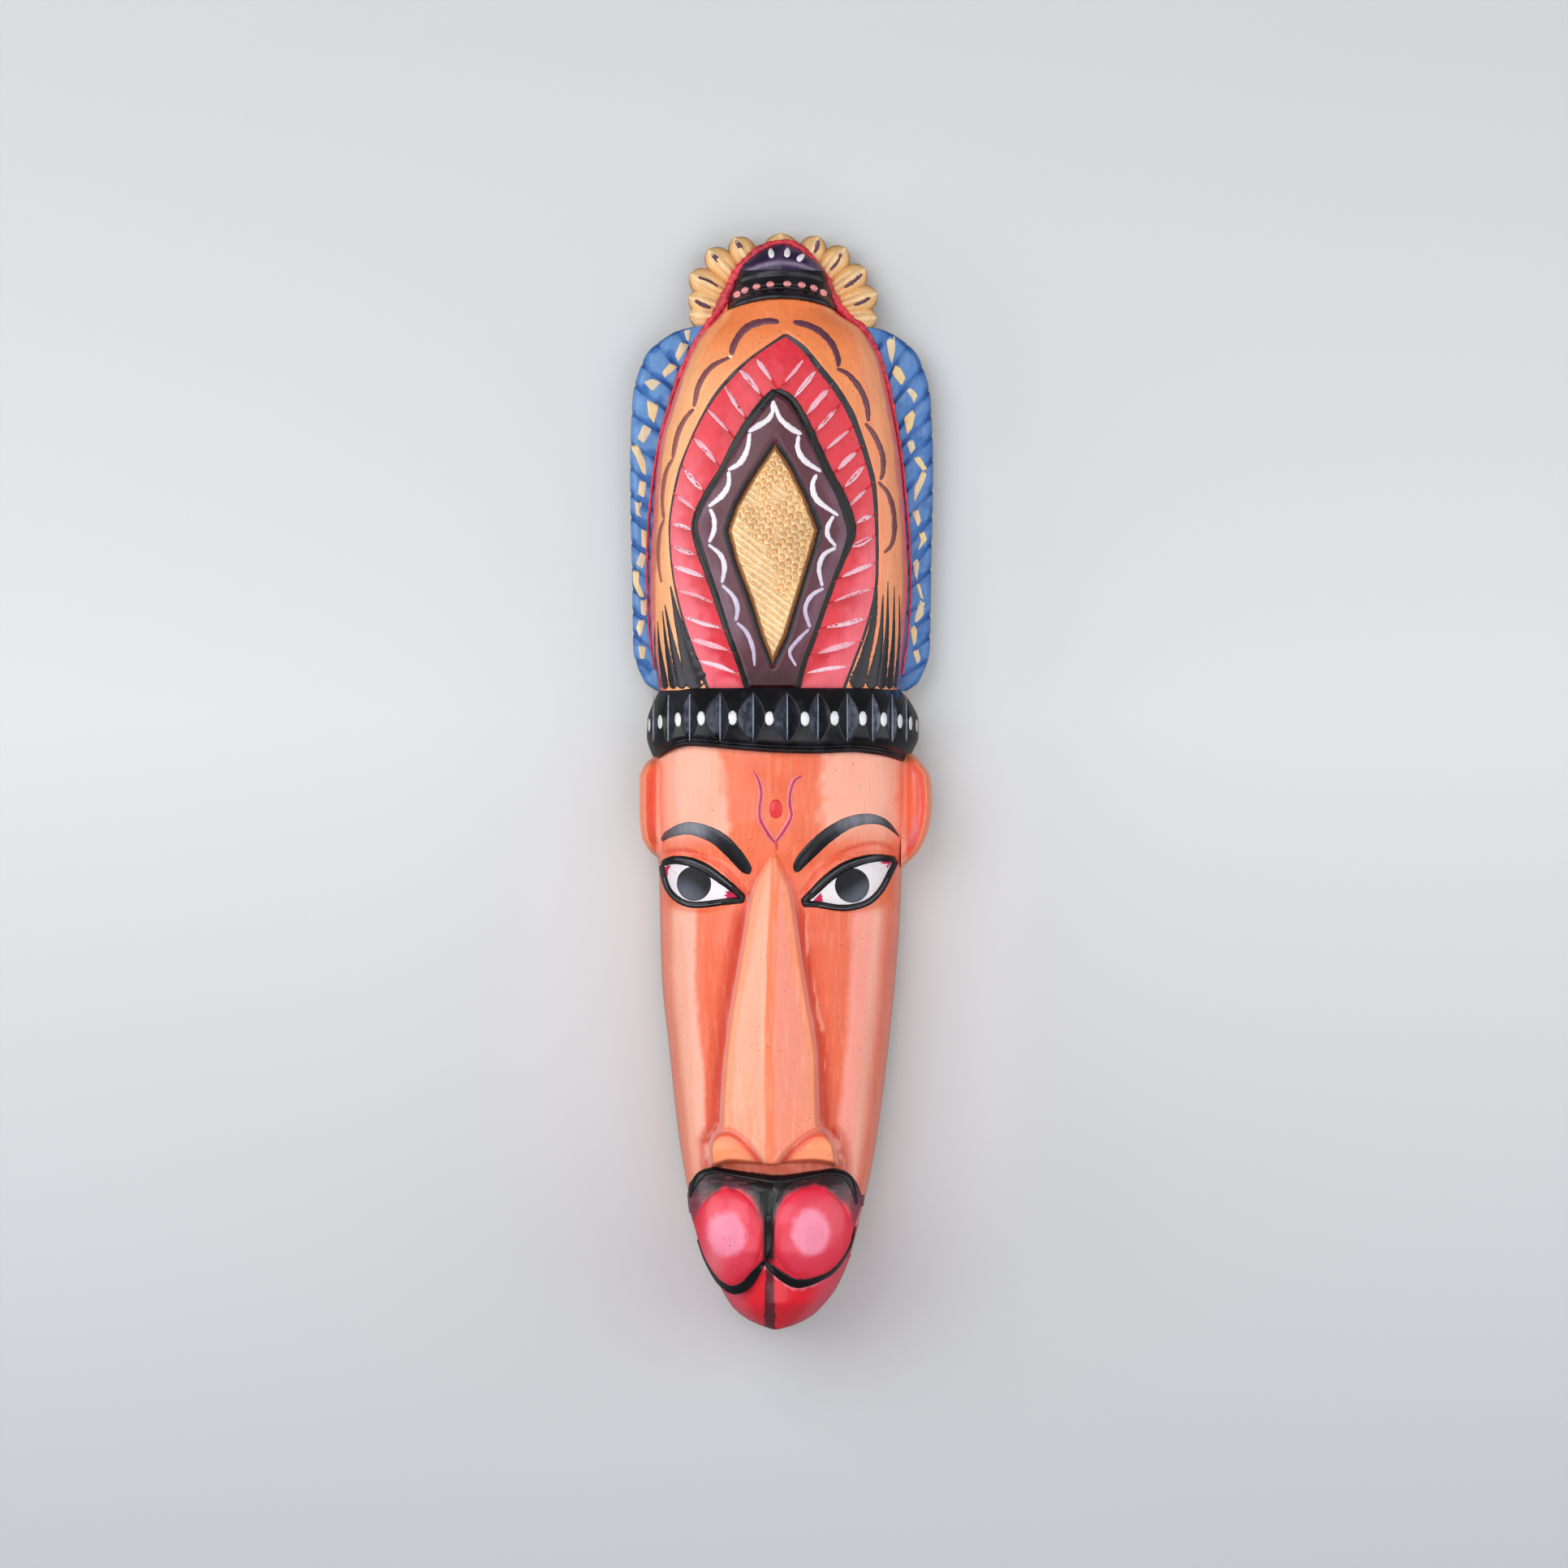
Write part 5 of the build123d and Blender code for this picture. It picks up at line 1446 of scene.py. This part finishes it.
# ---------------------------------------------------------------- nose
nose_foot = curve((-27, -247.4), (-25.8, -247.3), (-18.9, -245.6), (-9.9, -246.5), (-3.9, -247.3),
    (3.6, -246.1), (11.1, -245.5), (20.1, -246.6), (22, -246.8))
nose_depth = curve((-130.8, 49), (-145, 53.2), (-165, 57), (-200, 62), (-230, 67.5), (-238, 68.2),
    (-244, 66.6), (-248, 63.5))
NOSE_BASE = 43.0     # depth that the nose's walls fall to
RIDGE = curve((-248, -4.2), (-200, -4.6), (-165, -3.6), (-131, -2.0))
FOLDS = ([(-25.0, -234.6), (-20.0, -233.6), (-15.6, -235.2), (-10.6, -240.2), (-6.0, -246.4)],
         [(17.0, -234.2), (12.6, -233.8), (8.4, -235.8), (2.8, -240.6), (-1.6, -246.2)])
fold_paths = [smooth_path(f, 0.8) for f in FOLDS]


def below_fold(x, z):
    """1 on the nostril wings, 0 on the nose's panels."""
    left = np.interp(x, [p[0] for p in FOLDS[0]], [p[1] for p in FOLDS[0]])
    right = np.interp(x, [p[0] for p in FOLDS[1]][::-1], [p[1] for p in FOLDS[1]][::-1])
    line = np.where(x < -4, left, right)
    return ease(0.5, -0.5, z - line)


def nose_y(x, z):
    ridge, top = RIDGE(z), nose_depth(z)
    off = np.abs(x - ridge)
    panel = top - 0.36 * np.maximum(off - 1.5, 0) - 0.012 * off ** 2
    wing_x = np.where(x < -4, x + 17.5, x - 11.6)
    wing = 64.6 - 0.022 * wing_x ** 2 - 0.055 * (z + 240.5) ** 2
    share = below_fold(x, z)
    out = panel * (1 - share) + wing * share
    near = np.minimum(line_distance(x, z, fold_paths[0]), line_distance(x, z, fold_paths[1]))
    out = out - 0.9 * bell(near, 0.8) + 0.35 * bell(near - 1.6, 0.8)
    out = out + 0.10 * noise(x, z * 0.4, 4, 121)
    inner = np.minimum(x - nose_left(z), nose_right(z) - x)
    under = z - nose_foot(x)
    wall = np.sqrt(np.clip(1 - (1 - np.clip(inner / 2.2, 0, 1)) ** 2, 0, 1))
    wall = wall * np.sqrt(np.clip(1 - 0.5 * (1 - np.clip(under / 2.0, 0, 1)) ** 2, 0, 1))
    return -(NOSE_BASE + (out - NOSE_BASE) * np.maximum(wall, 0.02))


def paint_nose(x, z, y):
    """Peach and pink panels either side of a deep orange ridge, orange nostril wings."""
    off = x - RIDGE(z)
    inner = np.minimum(x - nose_left(z), nose_right(z) - x)
    soft = 0.8 * noise(x * 1.5, z * 0.3, 3, 131)
    down = ease(-133, -160, z)
    colour = np.where((off < 0)[..., None], rgb(254, 174, 144), rgb(249, 146, 124))
    colour = layers(
        colour,
        (rgb(248, 140, 98), ease(-165, -225, z) * 0.3),
        (rgb(250, 146, 100), ease(5.5, 3.2, inner + soft) * (0.5 + 0.3 * down)),
        (rgb(246, 128, 82), ease(2.2, 1.2, np.abs(off) + 0.3 * soft)),
        (rgb(248, 140, 100), ease(-215, -236, z) * 0.55 * ease(3, 8, np.abs(off))))
    wing = below_fold(x, z)
    colour = blend(colour, rgb(250, 148, 100), wing)
    near = np.minimum(line_distance(x, z, fold_paths[0]), line_distance(x, z, fold_paths[1]))
    colour = layers(
        colour,
        (rgb(236, 92, 66), bell(near - 1.4, 1.2) * wing * 0.9),
        (rgb(240, 150, 150), bell(near, 0.5) * 0.8))
    # dark orange along the foot: painted shadow; pale pink along the top edges: the nose's outline paint
    under = z - nose_foot(x)
    colour = layers(
        colour,
        (rgb(196, 84, 58), ease(2.6, 0.8, under) * 0.85),
        (rgb(236, 172, 180), ease(1.0, 0.5, inner) * ease(-136, -145, z)))
    return blend(colour, rgb(255, 202, 178), ease(0.2, 0.9, noise(x * 3, z * 0.3, 2.4, 132)) * 0.2
                 * (1 - wing))


rows, cols = 420, 150
t = np.linspace(0, 1, rows)[:, None] * np.ones(cols)
s = (1 - np.cos(np.linspace(0, math.pi, cols))) / 2
s = (0.5 * s + 0.5 * np.linspace(0, 1, cols))[None, :]
nz = -246.5 + (246.5 - 129.4) * t
for _ in range(3):
    nx = nose_left(nz) + (nose_right(nz) - nose_left(nz)) * s
    nz = nose_foot(nx) * (1 - t) - 129.4 * t
carve("nose_carved", (nx, nz, nose_y(nx, nz)), -40.0, paint_nose, [FACE, BARE_WOOD], "nose_paint", "nose")

# ---------------------------------------------------------------- muzzle and jaw
mouth = curve((-33.5, -266), (-31.4, -272.6), (-30.2, -276.8), (-27.9, -282.3), (-24.9, -287.5),
    (-21.9, -290.7), (-18.9, -292.2), (-15.3, -291.6), (-12.3, -289.4), (-9.3, -285.3), (-6.3, -281.9),
    (-2.4, -284.9), (1.5, -288.4), (5.1, -290), (9.6, -289.6), (14.1, -288.3), (18.6, -285.9),
    (22.5, -281.7), (25.2, -275.9), (26.8, -269.7), (29.4, -262))
muzzle_top = curve((-35, -258.5), (-33.6, -254.7), (-31.5, -251.1), (-29.1, -248.8), (-24.9, -247.4),
    (-18.9, -247.9), (-9.9, -249.2), (-0.9, -250), (5.1, -249.4), (11.1, -248.5), (19.5, -247.6),
    (24.6, -249.5), (27.6, -253), (29.6, -258))
low_left = curve((-307.6, -5.5), (-306.9, -8.5), (-304.2, -14.2), (-300.6, -18.4), (-295.2, -21.8),
    (-290.7, -24.2), (-286.2, -26.9), (-281.7, -29.1), (-275.7, -31.3), (-269.7, -33), (-262.2, -34.4),
    (-257, -34.8), (-247, -35.2))
low_right = curve((-307.6, 1.5), (-306.6, 5.8), (-303.6, 11.8), (-299.1, 16.4), (-293.7, 20.5),
    (-287.7, 23.4), (-281.1, 26), (-274.2, 28.2), (-266.7, 29.9), (-257.7, 30.6), (-247, 31))
low_depth = curve((-307.6, 40), (-304, 46), (-297, 54.5), (-289, 58), (-283, 61.5), (-276, 64.6),
    (-266, 65.5), (-256, 63.6), (-250, 59.5), (-247, 56.8))
CHIN, JAW_TOP = -307.6, -281.5
LOBES = [(-19.6, -272.6, 12.4, 17.6), (11.2, -271.6, 14.4, 17.2)]


def lobe_share(x, z):
    """Squared distance from the middle of the nearer cheek ball, 1 on its rim."""
    return np.min([((x - a) / c) ** 2 + ((z - b) / d) ** 2 for a, b, c, d in LOBES], axis=0)


def work_low(x, z):
    """Two balls above the mouth, the cut between them, and the lips' edge."""
    ball = np.clip(1 - lobe_share(x, z), 0, 1) ** 0.6
    above = ease(-1.0, 1.0, z - mouth(x))
    out = 2.4 * ball * above - 1.9 * bell(x + 4.7, 1.7) * ease(-252, -258, z) * above
    out = out - 1.6 * bell(z - mouth(x), 1.3)
    out = out - 1.0 * (1 - above) * ease(-299, -292, z)
    return out + 0.12 * noise(x, z, 4, 141)


low_face = HalfRound(low_left, low_right, low_depth, 0.0, 0.62, work_low)
muzzle_face = HalfRound(low_left, low_right, low_depth, 36.0, 0.74, work_low)
LIP, LIP_HIGHLIGHT, LIP_DEEP = rgb(240, 40, 68), rgb(250, 150, 178), rgb(206, 22, 46)
PURPLE, INK_PURPLE = rgb(112, 50, 70), rgb(26, 18, 24)


def paint_muzzle(x, z, y):
    share = lobe_share(x, z)
    soft = noise(x, z, 3, 151)
    colour = blend(LIP, LIP_DEEP, 0.35 + 0.35 * soft)
    colour = blend(colour, rgb(232, 62, 88), ease(1.0, 0.5, share) * 0.7)
    # painted highlight on each cheek ball: a pink halo round a paler middle, set a little up and to the left
    for a, b, c, d in LOBES:
        near = np.hypot((x - a + 0.6) / 7.4, (z - b - 1.0) / 8.8)
        colour = blend(colour, rgb(246, 96, 118), ease(1.5, 0.8, near) * 0.35)
        colour = blend(colour, LIP_HIGHLIGHT, ease(1.12, 0.75, near + 0.07 * noise(x, z, 2.0, 152)) * 0.85)
    rim = ease(0.92, 1.25, share + 0.10 * soft)
    high = ease(-276, -262, z)
    colour = layers(
        colour,
        (PURPLE, rim * high * 0.9),
        (INK_PURPLE, rim * ease(-263, -252.5, z + 1.6 * soft) * 0.95),
        (rgb(148, 84, 104), rim * high * ease(0.1, 0.7, noise(x * 0.5, z * 2, 1.4, 153)) * 0.25),
        # pink sheen low on the left ball: painted reflection
        (rgb(246, 128, 142), 0.6 * np.exp(-((x + 25) / 4) ** 2 - ((z + 282) / 7) ** 2)))
    middle = ease(3.2, 1.2, np.abs(x + 4.7) - 4.2 * ease(-266, -253, z))
    colour = blend(colour, INK_PURPLE, middle * ease(-283, -280, z) * ease(0.5, 0.9, share + 0.1 * soft))
    return colour


def paint_jaw(x, z, y):
    down = mouth(x) - z
    colour = blend(rgb(238, 24, 46), rgb(212, 14, 36), 0.5 + 0.5 * noise(x, z, 5, 161))
    share = low_face.share(x, z)
    colour = blend(colour, rgb(234, 80, 110), ease(0.45, 0.8, np.abs(share)) * 0.65)
    soft = noise(x, z, 2, 162)
    colour = blend(colour, rgb(240, 124, 146), ease(3.4, 1.4, down + soft) * ease(0.8, 0.4, np.abs(share))
                   * 0.85)
    stripe = ease(1.0, 0.7, np.abs(x + 4.4) / (1.5 + 0.05 * np.clip(down, 0, 20)) + 0.15 * soft)
    colour = blend(colour, rgb(54, 18, 34), stripe * 0.9)
    return colour


carve("muzzle_carved", between_grid(muzzle_face, mouth, muzzle_top, 240, 300, 89.0), -33.0, paint_muzzle,
      [FACE, BARE_WOOD], "muzzle_paint", "muzzle", tuck=0.85)


def jaw_top(x):
    """The jaw's upper edge: the mouth, but never higher than where the muzzle covers it."""
    return np.minimum(mouth(x), JAW_TOP)


carve("lower_jaw_carved", between_grid(low_face, level(CHIN), jaw_top, 130, 320), -0.4, paint_jaw,
      [FACE, BARE_WOOD], "jaw_paint", "lower_jaw")

lines = Strokes()
mouth_face = Face(lambda x, z: np.minimum(muzzle_face.y(x, z), low_face.y(x, z)))
MOUTH_LINE = [(-31, -274, 0.5), (-28.6, -281, 0.7), (-24.9, -287.6, 1.2), (-21.9, -290.6, 1.9),
    (-18.4, -292.3, 2.7), (-15, -291.6, 3.1), (-12, -289.2, 3.1), (-9.2, -285.4, 2.4), (-6.6, -281.6, 1.3)]
MOUTH_LINE_RIGHT = [(-6.2, -281.4, 1.3), (-3.4, -284.2, 2.4), (1, -287.6, 3.1), (5.1, -289.6, 3),
    (9.6, -289.4, 2.6), (14.1, -288, 2), (18.6, -285.7, 1.5), (22.5, -281.4, 1.1), (25.6, -275.4, 0.8),
    (27.2, -269, 0.5)]
lines.brush(mouth_face, widened(MOUTH_LINE, 1.3), RIM, 0.9, ragged=0.05)
lines.brush(mouth_face, widened(MOUTH_LINE_RIGHT, 1.25), RIM, 0.9, ragged=0.05)
TOP_LINE = [(-33.9, -258.8, 1), (-33, -255, 2.6), (-30.6, -251.3, 3), (-27.8, -249.1, 2.6),
    (-24.3, -248.4, 2.2), (-18.9, -249.2, 2.4), (-9.9, -250.5, 3), (-2, -251.4, 3.2), (5.1, -250.7, 2.8),
    (11.1, -249.7, 2.4), (18.9, -249, 2.4), (23.4, -250.2, 2.8), (25.7, -253.2, 2.6), (27, -257.4, 1.8),
    (27.7, -261, 0.7)]
lines.brush(mouth_face, TOP_LINE, RIM, 0.7, ragged=0.12)
lines.fill(mouth_face, [(-13.4, -252), (-4.6, -251.2), (4.6, -252), (1.4, -255.4), (-1.4, -259.4),
    (-3.2, -264.5), (-3.6, -268), (-5.4, -268), (-6.2, -264), (-8, -259), (-10.6, -255)], RIM, 0.45,
    rings=6)
lines.brush(mouth_face, [(-4.5, -264.0, 2.2), (-4.6, -270.0, 2.6), (-4.8, -276.0, 2.2),
                         (-5.4, -281.0, 1.4)], RIM, 0.5)
lines.piece("mouth_lines", BLACK, "muzzle_paint")

# ---------------------------------------------------------------- ears
EAR_INNER = 44.3     # how far out the ears leave the face


def ear(side, outer, tip_z, foot_z, node_name):
    """A small ear with a raised rim and a dished middle, let into the side of the face."""
    rows, cols = 90, 60
    z = np.linspace(foot_z, tip_z, rows)[:, None] * np.ones(cols)
    share = np.linspace(0, 1, cols)[None, :]
    inner = side * EAR_INNER
    x = inner + (outer(z) - inner) * share
    rim_distance = np.abs(outer(z) - x)
    end = np.minimum(z - foot_z, tip_z - z)
    dish = bell(rim_distance - 4.6, 2.0) * ease(3, 9, end)
    high = 21.5 + 5.5 * ease(0, 6, np.abs(x - inner)) - 2.0 * dish
    high = high - 6.0 * (1 - ease(-0.3, 2.4, rim_distance)) - 3.0 * (1 - ease(0, 5, end))
    high = high + 0.2 * noise(x, z, 3, 171)
    colour = blend(SKIN, rgb(255, 170, 140), ease(3.0, 0.8, rim_distance) * 0.7)
    colour = layers(
        colour,
        (rgb(236, 92, 84), dish * (0.85 if side > 0 else 0.6)),
        # pale strip along the inner edge: the face's painted reflection carried on onto the ear
        (SKIN_PALE, ease(2.6, 1.6, np.abs(x - inner)) * (0.9 if side < 0 else 0.6)),
        (rgb(226, 140, 150), dish * ease(0.0, 0.6, noise(x, z, 4, 172)) * (0.6 if side > 0 else 0.1)))
    x, z, y, colour = facing_out(side, x, z, -high, colour)
    finish_piece(relief(node_name + "_carved", x, z, y, -8.0, colour, [FACE, BARE_WOOD]), "ear_paint",
                 node_name)


ear(-1, curve((-134, -46), (-131.7, -48.6), (-125.7, -51.9), (-116.7, -52.7), (-104.7, -52.7),
    (-99.5, -50.8), (-96.5, -47.5)), -96.5, -134, "left_ear")
ear(1, curve((-139, 44.4), (-137.1, 45.6), (-130.2, 51.6), (-122.7, 54.6), (-113.7, 55.8), (-104.7, 55.2),
    (-97.2, 50.6), (-94.4, 46.6)), -94.4, -139, "right_ear")

# ---------------------------------------------------------------- back of the mask
def refinish(material, *nodes):
    """Gives CAD nodes that stay as they are a finished material."""
    for name in nodes:
        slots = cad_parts[name].data.materials
        slots.clear()
        slots.append(material)


refinish(BARE_WOOD, "backing_board")
refinish(DOWEL_WOOD, "crown_dowels", "wing_dowels", "muzzle_dowels")
refinish(STEEL, "hanger_strap", "hanger_screws", "hanger_ring")

# ---------------------------------------------------------------- stage, light, camera
def soft_light(name, spot, width, height, power):
    """Rectangular lamp that looks at the middle of the mask."""
    lamp = bpy.data.lights.new(name, "AREA")
    lamp.shape, lamp.size, lamp.size_y, lamp.energy = "RECTANGLE", width, height, power
    obj = bpy.data.objects.new(name, lamp)
    obj.location = spot
    obj.rotation_euler = (CENTRE - Vector(spot)).to_track_quat("-Z", "Y").to_euler()
    bpy.context.scene.collection.objects.link(obj)
    return obj


low, high = cad_bounds
CENTRE = Vector([(a + b) / 2 for a, b in zip(low, high)])
HEIGHT = high[2] - low[2]
SHARE_OF_FRAME = 0.70     # the mask's height in the square frame
DISTANCE = 3.4
SENSOR = 36.0
CAMERA_RIGHT, CAMERA_NEARER, CAMERA_DOWN = 0.0009, 0.035, 0.0017     # small shifts from the mask's middle
WALL_HALF, WALL_GAP = 3.0, 0.004

camera = bpy.data.cameras.new("camera")
camera.sensor_width = SENSOR
camera.lens = SENSOR * DISTANCE * SHARE_OF_FRAME / HEIGHT
camera.clip_end = 50
view_point = bpy.data.objects.new("camera", camera)
view_point.location = (CENTRE.x + CAMERA_RIGHT, low[1] - DISTANCE + CAMERA_NEARER, CENTRE.z - CAMERA_DOWN)
view_point.rotation_euler = (math.pi / 2, 0, 0)
bpy.context.scene.collection.objects.link(view_point)
bpy.context.scene.camera = view_point

wall_mesh = bpy.data.meshes.new("wall")
wall_mesh.from_pydata([(x * WALL_HALF, WALL_GAP, z * WALL_HALF) for x,
                       z in ((-1, -1), (1, -1), (1, 1), (-1, 1))], [], [(0, 1, 2, 3)])
wall = bpy.data.objects.new("wall", wall_mesh)
bpy.context.scene.collection.objects.link(wall)
plaster, tree, shader = new_material("wall_paper")
parts = node(tree, "ShaderNodeSeparateXYZ")
tree.links.new(node(tree, "ShaderNodeTexCoord").outputs["Object"], parts.inputs[0])


def faded(below, above, low, high):
    """Mix node that goes from one colour to another over a range of heights on the wall."""
    fade = node(tree, "ShaderNodeMapRange", in_From_Min=low, in_From_Max=high)
    mix = node(tree, "ShaderNodeMix", data_type="RGBA")
    tree.links.new(parts.outputs["Z"], fade.inputs[0])
    tree.links.new(fade.outputs[0], mix.inputs[0])
    if below is not None:
        mix.inputs[6].default_value = (*below, 1)
    mix.inputs[7].default_value = (*above, 1)
    return mix


# painted light falloff on the wall: brightest behind the mask, darker below it and a little darker above
lower_wall = faded(rgb(192, 195, 200), rgb(221, 224, 226), -0.40, -0.08)
upper_wall = faded(None, rgb(205, 209, 212), -0.08, 0.17)
tree.links.new(lower_wall.outputs[2], upper_wall.inputs[6])
tree.links.new(upper_wall.outputs[2], shader.inputs["Base Color"])
shader.inputs["Roughness"].default_value = 0.9
pick = node(tree, "ShaderNodeMixShader")     # the wall's back is clear, for views from behind
for source, socket in ((node(tree, "ShaderNodeNewGeometry").outputs["Backfacing"], 0),
                       (shader.outputs[0], 1), (node(tree, "ShaderNodeBsdfTransparent").outputs[0], 2)):
    tree.links.new(source, pick.inputs[socket])
tree.links.new(pick.outputs[0], tree.nodes["Material Output"].inputs["Surface"])
wall_mesh.materials.append(plaster)
for ray in ("visible_diffuse", "visible_glossy", "visible_shadow", "visible_transmission"):
    setattr(wall, ray, False)

world = bpy.data.worlds.new("room")
world.use_nodes = True
background = world.node_tree.nodes["Background"]
background.inputs[0].default_value = (*rgb(214, 213, 216), 1)
background.inputs[1].default_value = 0.27
bpy.context.scene.world = world
bpy.context.scene.view_settings.view_transform = "Standard"

soft_light("key", (-0.80, -1.75, 0.55), 1.6, 1.6, 22)
soft_light("fill", (1.00, -1.70, 0.15), 1.6, 1.6, 10.5)
soft_light("bounce", (0.0, -1.40, -1.20), 1.6, 1.2, 9.0)
soft_light("left_side", (-1.70, -0.35, 0.0), 1.4, 1.6, 15)
soft_light("right_side", (1.70, -0.35, 0.0), 1.4, 1.6, 10)
soft_light("back", (0.3, 2.2, 0.5), 1.2, 1.2, 18).visible_glossy = False     # or it glints on dark edges
